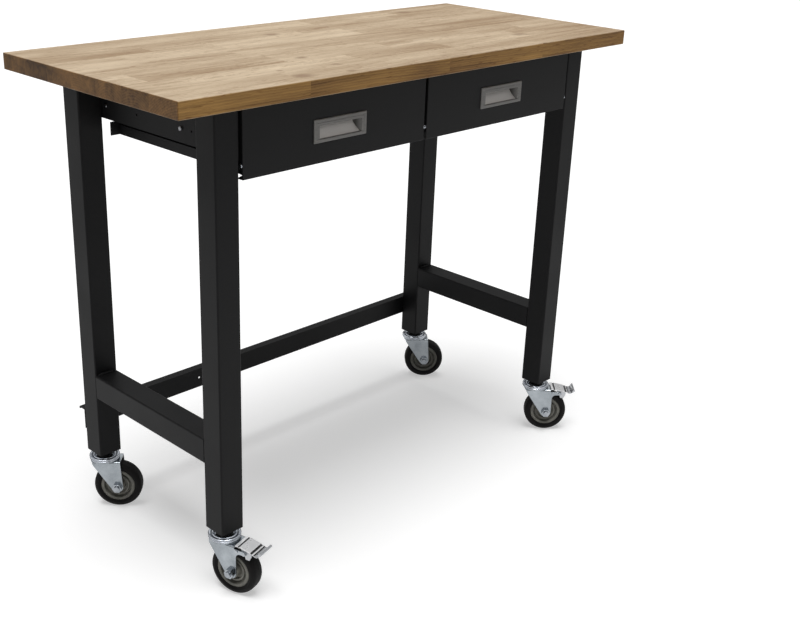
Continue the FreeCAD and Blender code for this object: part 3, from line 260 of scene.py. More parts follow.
CORNERS = ("front_left", "front_right", "rear_left", "rear_right")
BRAKED = ("front_left", "front_right")
castor_zinc = zinc_plate("blue_passivated_zinc", "#abb1b6", "#8f959a", 0.16, 0.26, (1.0, 1.0, 0.25))
dress(castor_zinc, [f"castor_{corner}_{piece}" for corner in CORNERS for piece in ("fork", "stem")])
axle_zinc = zinc_plate("turned_zinc_axle", "#b5b9be", "#8c9197", 0.14, 0.24)
dress(axle_zinc, [f"castor_{corner}_axle" for corner in CORNERS])
dress(axle_zinc, [f"castor_{corner}_brake_pivot" for corner in BRAKED])


# Castor tyres
# A solid ring of black rubber moulded on the hub: round shoulders, a parting line round the tread
# and a shallow step on each side wall. The skin is matt with a little bloom.

joints = {joint["name"]: joint for joint in frame["joints"]}


def wheel_frame(corner):
    """Centre of a wheel, its axle direction, the level direction square to it, and up."""
    joint = joints[f"{corner}_wheel_spin"]
    axle = np.array(joint["axis"], float)
    up = np.array([0.0, 0.0, 1.0])
    return np.array(joint["pos_m"], float), axle, np.cross(up, axle), up


def rounded_profile(corners, radii, steps=6):
    """A closed profile with rounded corners: each corner becomes a curve between its two tangent points."""
    corner = np.array(corners, float)
    before = np.roll(corner, 1, 0) - corner
    after = np.roll(corner, -1, 0) - corner
    reach = np.array(radii, float)[:, None]
    start = corner + before / np.linalg.norm(before, axis=1)[:, None] * reach
    end = corner + after / np.linalg.norm(after, axis=1)[:, None] * reach
    share = np.linspace(0, 1, steps)[None, :, None]
    curve = (start[:, None] * (1 - share) ** 2 + 2 * corner[:, None] * share * (1 - share)
             + end[:, None] * share ** 2)
    return curve.reshape(-1, 2)


def both_sides(half, rounds):
    """Corners (radius, along the axle) and roundings of half a section, then their mirror image backwards."""
    return np.concatenate([half, half[::-1] * (1, -1)]), np.concatenate([rounds, rounds[::-1]])


def turned_ring(profile, centre, axle, first, second, steps=120):
    """A profile of (radius, along the axle) carried round the axle, from the first to the second spoke."""
    angle = np.linspace(0, 2 * np.pi, steps, endpoint=False)
    spoke = np.cos(angle)[:, None] * first + np.sin(angle)[:, None] * second
    points = centre + spoke[:, None, :] * profile[None, :, :1] + axle * profile[None, :, 1:]
    return points, quads(*points.shape[:2], ring_rows=True, ring_columns=True)[:, ::-1]


# Black natural rubber, moulded: near-black, matt, with a dusty bloom that fades in and out.
RUBBER_BLOOM = 22 * MM
RUBBER_SKIN = 1.0 * MM
RUBBER_SKIN_DEPTH = 0.12 * MM
tyre_rubber, tree, shader, place = new_finish("moulded_black_rubber")
bloom = add(tree, "TexNoise", {"Vector": place, "Scale": 1 / RUBBER_BLOOM, "Detail": 4.0})
skin = add(tree, "TexNoise", {"Vector": place, "Scale": 1 / RUBBER_SKIN, "Detail": 2.0})
tone = two_tone(tree, bloom.outputs["Fac"], "#0a0909", "#141212", 0.35, 0.75)
sheen = add(tree, "MapRange", {"Value": bloom.outputs["Fac"], "To Min": 0.5, "To Max": 0.72})
bump = add(tree, "Bump", {"Height": skin.outputs["Fac"], "Strength": 0.2, "Distance": RUBBER_SKIN_DEPTH})
plug(tree, shader, {"Base Color": tone, "Roughness": sheen.outputs["Result"], "Specular IOR Level": 0.16,
                    "Normal": bump.outputs["Normal"]})

TYRE_RADIUS = 50 * MM
TYRE_SEAT = 35.55 * MM
TYRE_HALF_WIDTH = 16 * MM
TYRE_STEP = 0.8 * MM
# Half the section, from the seat on the hub out to the parting line.
tyre_half = np.array([(TYRE_SEAT, 13.4 * MM), (TYRE_SEAT + 4.2 * MM, TYRE_HALF_WIDTH - TYRE_STEP),
                      (TYRE_SEAT + 4.6 * MM, TYRE_HALF_WIDTH),
                      (TYRE_RADIUS - 0.5 * MM, TYRE_HALF_WIDTH - 1.2 * MM),
                      (TYRE_RADIUS, 0.7 * MM), (TYRE_RADIUS - 0.35 * MM, 0.25 * MM)])
TYRE_ROUNDS = MM * np.array([0.6, 0.2, 0.2, 8.5, 0.12, 0.12])
tyre_profile = rounded_profile(*both_sides(tyre_half, TYRE_ROUNDS))
for corner in CORNERS:
    make_piece(f"{corner}_tyre_ring", [turned_ring(tyre_profile, *wheel_frame(corner))], tyre_rubber,
               f"{corner}_wheel", f"castor_{corner}_tyre")


# Castor hubs
# An injection-moulded polypropylene wheel centre: a raised rim, a dished web and a boss round the sleeve.
# Taupe grey, with the faint swirl of the moulding and dull faces.
HUB_SWIRL = 16 * MM
HUB_GRIT = 0.9 * MM
HUB_GRIT_DEPTH = 0.1 * MM
hub_plastic, tree, shader, place = new_finish("moulded_taupe_polypropylene")
swirl = add(tree, "TexNoise", {"Vector": place, "Scale": 1 / HUB_SWIRL, "Detail": 3.0, "Distortion": 0.8})
grit = add(tree, "TexNoise", {"Vector": place, "Scale": 1 / HUB_GRIT, "Detail": 1.0})
tone = two_tone(tree, swirl.outputs["Fac"], "#6e6d67", "#8a887f", 0.3, 0.7)
bump = add(tree, "Bump", {"Height": grit.outputs["Fac"], "Strength": 0.15, "Distance": HUB_GRIT_DEPTH})
plug(tree, shader, {"Base Color": tone, "Roughness": 0.48, "Specular IOR Level": 0.4,
                    "Normal": bump.outputs["Normal"]})

# Half the section, from the bore and its boss over the web to the rim under the tyre.
HUB_HALF = MM * np.array([(8.3, 18.1), (13.4, 18.1), (14.8, 6.2), (18.8, 6.0), (19.8, 10.8), (23.4, 10.8),
                          (24.5, 6.0), (27.4, 6.0), (28.8, 13.6), (33.8, 13.8), (35.4, 12.6)])
HUB_ROUNDS = MM * np.array([0.4, 1.0, 1.2, 1.2, 1.0, 1.0, 1.2, 1.2, 1.0, 0.8, 0.6])
hub_profile = rounded_profile(*both_sides(HUB_HALF, HUB_ROUNDS))
for corner in CORNERS:
    make_piece(f"{corner}_hub_moulding", [turned_ring(hub_profile, *wheel_frame(corner))], hub_plastic,
               f"{corner}_wheel", f"castor_{corner}_hub")


# Collars, cap rims and rings of painted shade under the caps
# A cone of black nylon spaces each castor's cap from the leg end and stands in the dish of the cap. A thin
# ring of the same black nylon between cap and fork is painted shade: it draws the gap under the cap as a dark
# line.

# Glass-filled nylon of the collars and of the painted-shade rings: moulded, matt black, with a fine pebble.
NYLON_PEBBLE = 1.2 * MM
NYLON_PEBBLE_DEPTH = 0.15 * MM
collar_nylon, tree, shader, place = new_finish("moulded_black_nylon")
pebble = add(tree, "TexNoise", {"Vector": place, "Scale": 1 / NYLON_PEBBLE, "Detail": 2.0})
tone = two_tone(tree, pebble.outputs["Fac"], "#0e0e0f", "#19191a")
bump = add(tree, "Bump", {"Height": pebble.outputs["Fac"], "Strength": 0.3, "Distance": NYLON_PEBBLE_DEPTH})
plug(tree, shader, {"Base Color": tone, "Roughness": 0.62, "Normal": bump.outputs["Normal"]})

COLLAR_BORE = 11.6 * MM
COLLAR_TOP_RADIUS = 17.5 * MM
COLLAR_WAIST = 12.6 * MM
COLLAR_FLANGE = 16.5 * MM
COLLAR_LOW = 116.1 * MM
COLLAR_FLANGE_TOP = 117.4 * MM
COLLAR_HIGH = 129.9 * MM
COLLAR_ROUNDS = MM * np.array([0.3, 0.8, 2.0, 0.4, 0.3, 0.3])
collar_corners = [(COLLAR_BORE, COLLAR_HIGH), (COLLAR_TOP_RADIUS, COLLAR_HIGH),
                  (COLLAR_WAIST, COLLAR_FLANGE_TOP), (COLLAR_FLANGE, COLLAR_FLANGE_TOP),
                  (COLLAR_FLANGE, COLLAR_LOW), (COLLAR_BORE, COLLAR_LOW)]
collar_profile = rounded_profile(collar_corners, COLLAR_ROUNDS)

# The edge of each cap is rolled over a bead: a bright ring, a groove under it, and a skirt. A second ring is
# pressed up inside it, round the collar.
RIM_CORNERS = MM * np.array([(28.6, 117.0), (26.3, 117.9), (27.2, 119.3), (29.6, 119.3), (31.3, 118.1),
                             (31.3, 116.4), (30.15, 115.5), (30.15, 114.6), (31.2, 113.8), (31.2, 112.4),
                             (30.1, 111.6), (28.8, 112.6)])
RIM_ROUNDS = MM * np.array([0.2, 0.4, 0.7, 1.0, 0.8, 0.7, 0.3, 0.3, 0.5, 0.5, 0.4, 0.2])
rim_profile = rounded_profile(RIM_CORNERS, RIM_ROUNDS)
CROWN_CORNERS = MM * np.array([(17.5, 116.1), (18.6, 119.6), (23.2, 120.4), (25.3, 118.6), (25.3, 116.1)])
CROWN_ROUNDS = MM * np.array([0.2, 1.2, 1.4, 0.8, 0.2])
crown_profile = rounded_profile(CROWN_CORNERS, CROWN_ROUNDS)

# A black ring put in as painted shade for the dark gap under each cap.
SHADE_RING_INNER = 26.2 * MM
SHADE_RING_OUTER = 28.8 * MM
SHADE_RING_LOW = 109.1 * MM
SHADE_RING_HIGH = 111.3 * MM
SHADE_RING_ROUND = 0.7 * MM
shade_ring_corners = [(SHADE_RING_INNER, SHADE_RING_HIGH), (SHADE_RING_OUTER, SHADE_RING_HIGH),
                (SHADE_RING_OUTER, SHADE_RING_LOW), (SHADE_RING_INNER, SHADE_RING_LOW)]
shade_ring_profile = rounded_profile(shade_ring_corners, [SHADE_RING_ROUND] * len(shade_ring_corners))

# An upright axle, and its spokes along X and Y.
UPRIGHT = np.roll(np.eye(3), 1, 0)


def swivel_foot(corner):
    """The place on the floor under a castor's swivel axis."""
    return np.array(joints[f"{corner}_swivel"]["pos_m"]) * np.array([1.0, 1.0, 0.0])


collars = []
cap_rims = []
shade_rings = []
for corner in CORNERS:
    foot = swivel_foot(corner)
    collars.append(turned_ring(collar_profile, foot, *UPRIGHT))
    cap_rims.append(turned_ring(rim_profile, foot, *UPRIGHT))
    cap_rims.append(turned_ring(crown_profile, foot, *UPRIGHT))
    shade_rings.append(turned_ring(shade_ring_profile, foot, *UPRIGHT))
make_piece("castor_collar_cones", collars, collar_nylon, "frame", "castor_collars")
make_piece("castor_cap_rims", cap_rims, fastener_zinc, "frame")
make_piece("swivel_shade_rings", shade_rings, collar_nylon, "frame")


# Brake pedals and brake bars
# Each front castor has a pedal pressed from 2.5 mm sheet and chromium plated: a sloping tread with grooves
# pressed across it, a toe that turns up to a rolled tip, and two cheeks on a pin that hold a plain bar.

# The tread's upper face: distance from the swivel axis and height above the floor.
PEDAL_PATH = MM * np.array([(36.5, 111.0), (46.0, 111.0), (72.0, 105.5), (80.0, 102.0), (84.5, 102.0),
                           (90.0, 109.0), (93.5, 109.0)])
PEDAL_SHEET = 2.5 * MM
PEDAL_HALF_WIDTH = 19 * MM
PEDAL_BEND = 1.2 * MM
PEDAL_EASE = 0.5 * MM
TIP_CENTRE = 90.0 * MM
TIP_RADIUS = 3.4 * MM
TIP_END = 0.05 * MM
TREAD_STEPS = 229
CHEEK_STEPS = 87
# Each groove across the tread: its distance from the swivel axis, half its width and its depth.
PEDAL_GROOVES = MM * np.array([(44.0, 2.2, 2.0), (71.6, 2.8, 1.7), (77.6, 1.4, 1.2)])
CHEEK_UNDERSIDE = MM * np.array([(50.0, 99.8), (57.0, 95.8), (59.5, 87.7), (67.5, 87.7), (71.5, 95.8)])
CHEEK_OUTER = 18.2 * MM
CHEEK_SHEET = 1.8 * MM
BAR_CORNERS = 8


def tread_middle(reach):
    """Height of the sheet's middle: the bent path, averaged over a short reach to make its bends round."""
    nearby = reach[:, None] + np.linspace(-PEDAL_BEND, PEDAL_BEND, 9)
    return np.interp(nearby, *PEDAL_PATH.T).mean(1) - PEDAL_SHEET / 2


def pressed_bar(reach, top, bottom, near, far):
    """A bar along the reach: an eight-cornered section between two heights and two sides, its edges eased."""
    side = np.array([near, near + PEDAL_EASE, far - PEDAL_EASE, far])
    drop = np.array([PEDAL_EASE, 0.0, 0.0, PEDAL_EASE])
    across = np.broadcast_to(np.concatenate([side, side[::-1]]), (len(reach), BAR_CORNERS))
    height = np.concatenate([top[:, None] - drop, bottom[:, None] + drop[::-1]], 1)
    points = np.stack([np.broadcast_to(reach[:, None], across.shape), across, height], -1)
    cap = np.array([(0, 1, 6, 7), (1, 2, 5, 6), (2, 3, 4, 5)])
    far_cap = cap[:, ::-1] + BAR_CORNERS * (len(reach) - 1)
    return points, np.concatenate([quads(*across.shape, ring_columns=True), cap, far_cap])


tread_reach = np.linspace(PEDAL_PATH[0, 0], PEDAL_PATH[-1, 0], TREAD_STEPS)
middle = tread_middle(tread_reach)
roll = np.sqrt(np.clip(TIP_RADIUS ** 2 - (tread_reach - TIP_CENTRE) ** 2, TIP_END ** 2, None))
half_sheet = np.maximum(np.where(tread_reach < TIP_CENTRE, PEDAL_SHEET / 2, 0.0), roll)
groove_share = np.clip(1 - np.abs(tread_reach[:, None] - PEDAL_GROOVES[:, 0]) / PEDAL_GROOVES[:, 1], 0, 1)
groove_depth = (groove_share * PEDAL_GROOVES[:, 2]).sum(1)
even_reach = np.linspace(*CHEEK_UNDERSIDE[[0, -1], 0], CHEEK_STEPS)
cheek_reach = np.unique(np.concatenate([even_reach, CHEEK_UNDERSIDE[:, 0]]))
cheek_top = tread_middle(cheek_reach) - PEDAL_SHEET / 4
cheek_bottom = np.interp(cheek_reach, *CHEEK_UNDERSIDE.T)
pedal_parts = [pressed_bar(tread_reach, middle + half_sheet - groove_depth, middle - half_sheet,
                           -PEDAL_HALF_WIDTH, PEDAL_HALF_WIDTH),
               pressed_bar(cheek_reach, cheek_top, cheek_bottom, -CHEEK_OUTER, CHEEK_SHEET - CHEEK_OUTER),
               pressed_bar(cheek_reach, cheek_top, cheek_bottom, CHEEK_OUTER - CHEEK_SHEET, CHEEK_OUTER)]

# Chromium over nickel: a bright neutral metal with hairline polish marks. The tread is half matt and near
# white, scuffed by shoes and also painted as a highlight; the darker grey mirror of the toe and cheeks is
# partly painted shade, and the grooves are painted near black as painted shade.
# Faces in grooves deeper than this are painted near black as painted shade.
GROOVE_SHADE_DEPTH = 0.3 * MM
pedal_chrome = zinc_plate("bright_chromium_plate", "#f2f2f3", "#dfe0e2", 0.24, 0.34, (0.3, 1.0, 1.0))
tree = pedal_chrome.node_tree
shader = tree.nodes["Principled BSDF"]
plated = shader.inputs["Base Color"].links[0].from_socket
groove_shade = add(tree, "Attribute", {}, attribute_name="groove_painted_shade").outputs["Fac"]
tone_with_shade = add(tree, "MixRGB", {"Fac": groove_shade, "Color1": plated, "Color2": linear("#161617")})
# Painted highlight and shade: the tread keeps a pale half-matt white, the toe and cheeks a darker grey
# mirror.
toe = add(tree, "Attribute", {}, attribute_name="shaded_mirror_toe").outputs["Fac"]
toe_shaded = add(tree, "MixRGB", {"Fac": toe, "Color1": tone_with_shade.outputs["Color"], "Color2": linear("#b4b6b9")})
mirror = add(tree, "MapRange", {"Value": toe, "To Min": 0.4, "To Max": 1.0})
plug(tree, shader, {"Base Color": toe_shaded.outputs["Color"], "Metallic": mirror.outputs["Result"]})
bar_steel = zinc_plate("oiled_mild_steel", "#4a4a4c", "#333335", 0.35, 0.5)
dress(bar_steel, [f"castor_{corner}_brake_bar" for corner in BRAKED])
shade_of_row = (groove_depth[1:] + groove_depth[:-1]) / 2 > GROOVE_SHADE_DEPTH
toe_of_row = (tread_reach[1:] + tread_reach[:-1]) / 2 > PEDAL_GROOVES[-1, :2].sum()
for corner in BRAKED:
    tilt_axis = np.array(joints[f"{corner}_brake_pedal_tilt"]["axis"], float)
    outward = np.cross(tilt_axis, [0.0, 0.0, 1.0])
    to_bench = np.stack([outward, tilt_axis, np.array([0.0, 0.0, 1.0])])
    parts = [(swivel_foot(corner) + points @ to_bench, faces) for points, faces in pedal_parts]
    pedal = make_piece(f"{corner}_brake_pedal_pressing", parts, pedal_chrome, f"{corner}_pedal",
                       f"castor_{corner}_brake_pedal", smooth=False)
    shade_of_face = np.zeros(len(pedal.data.polygons))
    shade_of_face[:BAR_CORNERS * len(shade_of_row)].reshape(-1, BAR_CORNERS)[:, 1] = shade_of_row
    toe_of_face = np.ones(len(pedal.data.polygons))
    toe_of_face[:BAR_CORNERS * len(toe_of_row)] = np.repeat(toe_of_row, BAR_CORNERS)
    for zone, share in (("groove_painted_shade", shade_of_face), ("shaded_mirror_toe", toe_of_face)):
        pedal.data.attributes.new(zone, "FLOAT", "FACE").data.foreach_set("value", share)


# Drawer slides
# Telescopic slides roll-formed from pregalvanised strip: three channels, one running in the next.
# Pale grey zinc with a fine spangle drawn out along the strip.
slide_zinc = zinc_plate("pregalvanised_strip", "#cfd2d5", "#b0b4b8", 0.28, 0.42, (1.0, 0.15, 1.0))
SIDES = ("left", "right")
dress(slide_zinc, [f"{side}_drawer_slide_{member}"
                   for side in SIDES for member in ("outer", "middle", "inner")])


# Drawers
# Open trays and shallow front pans folded from 0.8 mm steel sheet and coated in the frame's black,
# from a finer powder, so the wide fronts are a little smoother than the tubes.
drawer_coat = powder_coat("black_drawer_coat", "#141415", "#191919", 0.44, 0.52)
dress(drawer_coat, [f"{side}_drawer_{piece}" for side in SIDES for piece in ("box", "front")])


# Drawer pulls
# A die-cast zinc alloy pull in a hole of each front: a flat rim with a chamfer and a fine inner line, and
# a scoop with sloping ends whose floor comes forward from deep behind the upper lip to the lower edge.

PULL_HALF_LENGTH = 64 * MM
PULL_HALF_HEIGHT = 21 * MM
PULL_PLATE = 2.5 * MM
PULL_CHAMFER = 1.1 * MM
PULL_LINE_INSET = 6.2 * MM
PULL_LINE_WIDTH = 0.9 * MM
PULL_LINE_DEPTH = 0.7 * MM
SCOOP_HALF_LENGTH = 51.5 * MM
SCOOP_LOW = -14.3 * MM
SCOOP_HIGH = 9.4 * MM
SCOOP_DEEP = 14 * MM
SCOOP_SHALLOW = 2.5 * MM
SCOOP_SWEEP = 1.6
SCOOP_END_SLOPE = 1.1
SCOOP_WALL_SLOPE = 9.0
PULL_WALL = 1.5 * MM
# Painted shade on the scoop's walls: full at this depth, and this least share of it at the rim.
WALL_SHADE_DEPTH = 9 * MM
WALL_SHADE_LEAST = 0.25
PULL_GRID = (257, 127)


def scoop_floor(z):
    """Depth of the scoop's floor: deepest under the upper lip, sweeping ever faster to the lower edge."""
    fall = np.clip((SCOOP_HIGH - z) / (SCOOP_HIGH - SCOOP_LOW), 0, 1)
    return SCOOP_SHALLOW + (SCOOP_DEEP - SCOOP_SHALLOW) * (1 - fall ** SCOOP_SWEEP)


def scoop_walls(x, z):
    """Depth of the nearest wall: two sloping ends and two steep sides, below zero outside the scoop."""
    ends = SCOOP_END_SLOPE * (SCOOP_HALF_LENGTH - np.abs(x))
    sides = SCOOP_WALL_SLOPE * np.minimum(SCOOP_HIGH - z, z - SCOOP_LOW)
    return np.minimum(ends, sides)


def pull_depth(x, z):
    """Depth behind the rim's face: the lesser of the scoop's floor and walls, with the chamfer and line."""
    scoop = np.clip(np.minimum(scoop_floor(z), scoop_walls(x, z)), 0, None)
    inset = np.minimum(PULL_HALF_LENGTH - np.abs(x), PULL_HALF_HEIGHT - np.abs(z))
    chamfer = np.clip(PULL_CHAMFER - inset, 0, None)
    line = PULL_LINE_DEPTH * np.clip(1 - np.abs(inset - PULL_LINE_INSET) * 2 / PULL_LINE_WIDTH, 0, 1)
    return scoop + chamfer + line


x_lines = np.linspace(-PULL_HALF_LENGTH, PULL_HALF_LENGTH, PULL_GRID[0])
z_lines = np.linspace(-PULL_HALF_HEIGHT, PULL_HALF_HEIGHT, PULL_GRID[1])


def pull_casting(centre):
    """Front face of a pull over a grid in X and Z and a back one wall behind it, joined round the border."""
    x, z = np.meshgrid(x_lines, z_lines, indexing="ij")
    front = pull_depth(x, z)
    back = np.maximum(PULL_PLATE, front + PULL_WALL)
    sheets = [centre + np.stack([x, depth, z], -1) for depth in (front, back)]
    number = np.arange(x.size).reshape(x.shape)
    border = np.concatenate([number[:-1, 0], number[-1, :-1], number[:0:-1, -1], number[0, :0:-1]])
    after = np.roll(border, -1)
    rim = np.stack([border, border + x.size, after + x.size, after], -1)
    faces = np.concatenate([quads(*x.shape), quads(*x.shape)[:, ::-1] + x.size, rim])
    return np.concatenate([sheet.reshape(-1, 3) for sheet in sheets]), faces


# Zinc alloy under satin nickel lacquer: mid grey, slightly warm, with fine lengthwise brushing. The floor is
# painted lighter than the rim as painted light on its upward slope, and the walls carry painted shade that
# deepens with depth.
PULL_BRUSH = 1.5 * MM
PULL_BRUSH_DEPTH = 0.1 * MM
pull_metal, tree, shader, place = new_finish("satin_die_cast_zinc")
drawn = add(tree, "Mapping", {"Vector": place, "Scale": (0.15, 1.0, 1.0)})
brush = add(tree, "TexNoise", {"Vector": drawn.outputs["Vector"], "Scale": 1 / PULL_BRUSH, "Detail": 3.0})
tone = two_tone(tree, brush.outputs["Fac"], "#71706e", "#807e7b", 0.3, 0.7)
# Painted light on the upward floor and painted shade on the walls, stored per face.
floor_light = add(tree, "Attribute", {}, attribute_name="floor_painted_light").outputs["Fac"]
wall_shade = add(tree, "Attribute", {}, attribute_name="wall_painted_shade").outputs["Fac"]
floor_lit = add(tree, "MixRGB", {"Fac": floor_light, "Color1": tone, "Color2": linear("#c4c0bc")})
wall_shaded = add(tree, "MixRGB", {"Fac": wall_shade, "Color1": floor_lit.outputs["Color"],
                              "Color2": linear("#35322f")})
sheen = add(tree, "MapRange", {"Value": brush.outputs["Fac"], "To Min": 0.34, "To Max": 0.46})
bump = add(tree, "Bump", {"Height": brush.outputs["Fac"], "Strength": 0.06, "Distance": PULL_BRUSH_DEPTH})
plug(tree, shader, {"Base Color": wall_shaded.outputs["Color"], "Metallic": 0.25,
                    "Roughness": sheen.outputs["Result"], "Specular IOR Level": 0.3,
                    "Normal": bump.outputs["Normal"]})
face_x, face_z = np.meshgrid((x_lines[1:] + x_lines[:-1]) / 2, (z_lines[1:] + z_lines[:-1]) / 2,
                             indexing="ij")
wall_depth = scoop_walls(face_x, face_z)
on_floor = (wall_depth > 0) & (scoop_floor(face_z) < wall_depth)
on_wall = (wall_depth > 0) & ~on_floor
# The walls' painted shade grows with their depth.
shade_of_wall = on_wall * np.clip(wall_depth / WALL_SHADE_DEPTH, WALL_SHADE_LEAST, 1)
for side in SIDES:
    low, high = (np.array(corner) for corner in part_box(f"{side}_drawer_pull"))
    centre = np.array([(low[0] + high[0]) / 2, low[1], (low[2] + high[2]) / 2])
    pull = make_piece(f"{side}_pull_casting", [pull_casting(centre)], pull_metal, f"{side}_drawer",
                      f"{side}_drawer_pull", smooth=False)
    for zone, share in (("floor_painted_light", on_floor), ("wall_painted_shade", shade_of_wall)):
        share_of_face = np.zeros(len(pull.data.polygons))
        share_of_face[:share.size] = share.ravel()
        pull.data.attributes.new(zone, "FLOAT", "FACE").data.foreach_set("value", share_of_face)


# Worktop
# Seven rows of solid oak staves, butted end to end and edge glued, planed flush, sanded and oiled.
# End grain takes up more oil and darkens; beyond that, the sawn edges and ends are painted darker as painted
# shade.

WORKTOP_EASE = 1.6 * MM
EASE_LOSS = 0.8
EASE_TURN = np.linspace(0, np.pi / 2, 5)
# Each row from the rear: where its staves end, in mm from the left, and how light each stave is, -1 to 1.
STAVE_ROWS = (
    ((410, 0.2), (690, 0.25), (950, 0.0), (1200, -0.45)),
    ((222, -0.5), (590, 0.0), (905, -0.2), (1200, -0.1)),
    ((140, 0.3), (352, 0.3), (690, 0.95), (1010, 0.1), (1200, -0.1)),
    ((330, 0.2), (580, 0.1), (826, -0.35), (1200, -0.55)),
    ((52, 0.3), (352, -0.5), (620, 0.4), (1040, -0.15), (1200, 0.1)),
    ((480, 0.2), (720, -0.4), (962, 0.2), (1200, -0.6)),
    ((270, 0.3), (620, -0.15), (905, -0.2), (1200, -0.35)),
)
low, high = (np.array(corner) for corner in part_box("worktop"))
row_lines = np.linspace(low[1], high[1], len(STAVE_ROWS) + 1)
stave_ends = [low[0] + MM * np.array([end for end, tone in row]) for row in reversed(STAVE_ROWS)]
stave_tones = [np.array([tone for end, tone in row]) for row in reversed(STAVE_ROWS)]
cross_lines = np.unique(np.round(np.concatenate([low[:1]] + stave_ends), 6))


def slab_section(inset):
    """Half ring of the slab's section in Y and Z: over the top from front to rear, eased and set in."""
    ease = WORKTOP_EASE - EASE_LOSS * inset
    front, rear, top = low[1] + inset, high[1] - inset, high[2] - inset
    front_arc = np.stack([front + ease * (1 - np.cos(EASE_TURN)), top - ease * (1 - np.sin(EASE_TURN))], -1)
    rear_arc = np.stack([rear - ease * (1 - np.sin(EASE_TURN)), top - ease * (1 - np.cos(EASE_TURN))], -1)
    flat = np.stack([row_lines[1:-1], np.full(len(row_lines) - 2, top)], -1)
    return np.concatenate([front_arc, flat, rear_arc])


end_insets = WORKTOP_EASE * (1 - np.cos(EASE_TURN))
end_reach = WORKTOP_EASE * (1 - np.sin(EASE_TURN))
insets = np.concatenate([end_insets[::-1], np.zeros(len(cross_lines) - 2), end_insets])
stations = np.concatenate([low[0] + end_reach[::-1], cross_lines[1:-1], high[0] - end_reach])
upper = np.stack([slab_section(inset) for inset in insets])
middle_z = (low[2] + high[2]) / 2
lower = upper[:, ::-1] * np.array([1, -1]) + np.array([0, 2 * middle_z])
ring = np.concatenate([upper, lower], 1)
slab_points = np.concatenate([np.broadcast_to(stations[:, None, None], (*ring.shape[:2], 1)), ring], 2)
slab_faces = quads(*slab_points.shape[:2], ring_columns=True)
half = upper.shape[1]
step = np.arange(half - 1)
cap = np.stack([step, step + 1, 2 * half - 2 - step, 2 * half - 1 - step], -1)
far_cap = cap[:, ::-1] + (len(stations) - 1) * 2 * half
worktop_faces = np.concatenate([slab_faces, cap, far_cap])

# Each knot in the upper face: its place from the middle of the bench, and its radius.
KNOTS = MM * np.array([(-200, -81, 13), (-190, -163, 9), (-215, -221, 10), (-315, -206, 20), (-310, -148, 7),
                       (363, -144, 17), (-70, 152, 18), (385, 219, 18)])
KNOT_SHARE = 0.55
# Oak in oil: tan face with growth rings, long fibre streaks, short dark pores and a few small knots.
# Rings are 4 mm apart; pores are drawn 3 mm wide instead of a few tenths, so that they show.
RING_GAP = 4 * MM
RING_SHADE = -0.22
FIBRE_WIDTH = 5 * MM
PORE_WIDTH = 3 * MM
STAVE_SHADE = 0.24
OAK_LIFT = 0.11
OAK_RELIEF = 0.2 * MM
# A wave pattern of scale one repeats once in this length.
WAVE_LENGTH = 2 * np.pi / 20
oak, tree, shader, place = new_finish("oiled_oak_staves")
own_place = add(tree, "Attribute", {}, attribute_name="stave_shift").outputs["Vector"]
own_tone = add(tree, "Attribute", {}, attribute_name="stave_tone").outputs["Fac"]
sawn_edge = add(tree, "Attribute", {}, attribute_name="sawn_edge").outputs["Fac"]
end_grain = add(tree, "Attribute", {}, attribute_name="end_grain").outputs["Fac"]
log = add(tree, "VectorMath", {0: place, 1: own_place}).outputs["Vector"]
wander = add(tree, "Mapping", {"Vector": log, "Scale": (1.6, 9.0, 9.0)})
bend = add(tree, "TexNoise", {"Vector": wander.outputs["Vector"], "Scale": 1.0, "Detail": 3.0})
sway = add(tree, "VectorMath", {0: bend.outputs["Color"], 1: (0.5, 0.5, 0.5)}, operation="SUBTRACT")
swung = add(tree, "VectorMath", {0: sway.outputs["Vector"], 1: (0.0, 0.03, 0.03), 2: log},
            operation="MULTIPLY_ADD")
rings = add(tree, "TexWave", {"Vector": swung.outputs["Vector"], "Scale": WAVE_LENGTH / RING_GAP,
                              "Distortion": 2.5, "Detail": 3.0, "Detail Scale": 1.2},
            wave_type="RINGS", rings_direction="X", wave_profile="SAW")
fibre_way = add(tree, "Mapping", {"Vector": swung.outputs["Vector"], "Scale": (0.035, 1.0, 1.0)})
fibre = add(tree, "TexNoise", {"Vector": fibre_way.outputs["Vector"], "Scale": 1 / FIBRE_WIDTH, "Detail": 5.0,
                               "Roughness": 0.62})
pore_way = add(tree, "Mapping", {"Vector": log, "Scale": (0.12, 1.0, 1.0)})
pore = add(tree, "TexNoise", {"Vector": pore_way.outputs["Vector"], "Scale": 1 / PORE_WIDTH, "Detail": 2.0})
pores = add(tree, "MapRange", {"Value": pore.outputs["Fac"], "From Min": 0.6, "From Max": 0.72})
streak_way = add(tree, "Mapping", {"Vector": swung.outputs["Vector"], "Scale": (3.2, 26.0, 26.0)})
streak = add(tree, "TexNoise", {"Vector": streak_way.outputs["Vector"], "Scale": 1.0, "Detail": 3.0})
knot_shares = []
for knot_x, knot_y, knot_size in KNOTS:
    off_knot = add(tree, "VectorMath", {0: place, 1: (knot_x, knot_y, high[2])}, operation="SUBTRACT")
    oval = add(tree, "VectorMath", {0: off_knot.outputs["Vector"], 1: (0.7, 1.0, 1.0)}, operation="MULTIPLY")
    uneven = add(tree, "VectorMath", {0: sway.outputs["Vector"], 1: (0.03, 0.03, 0.0),
                                      2: oval.outputs["Vector"]}, operation="MULTIPLY_ADD")
    reach = add(tree, "VectorMath", {0: uneven.outputs["Vector"]}, operation="LENGTH")
    share = add(tree, "MapRange", {"Value": reach.outputs["Value"], "From Min": 0.3 * knot_size,
                                   "From Max": knot_size, "To Min": KNOT_SHARE, "To Max": 0.0})
    knot_shares.append(share.outputs["Result"])
knots = knot_shares[0]
for share in knot_shares[1:]:
    knots = add(tree, "Math", {0: knots, 1: share}, operation="MAXIMUM").outputs["Value"]
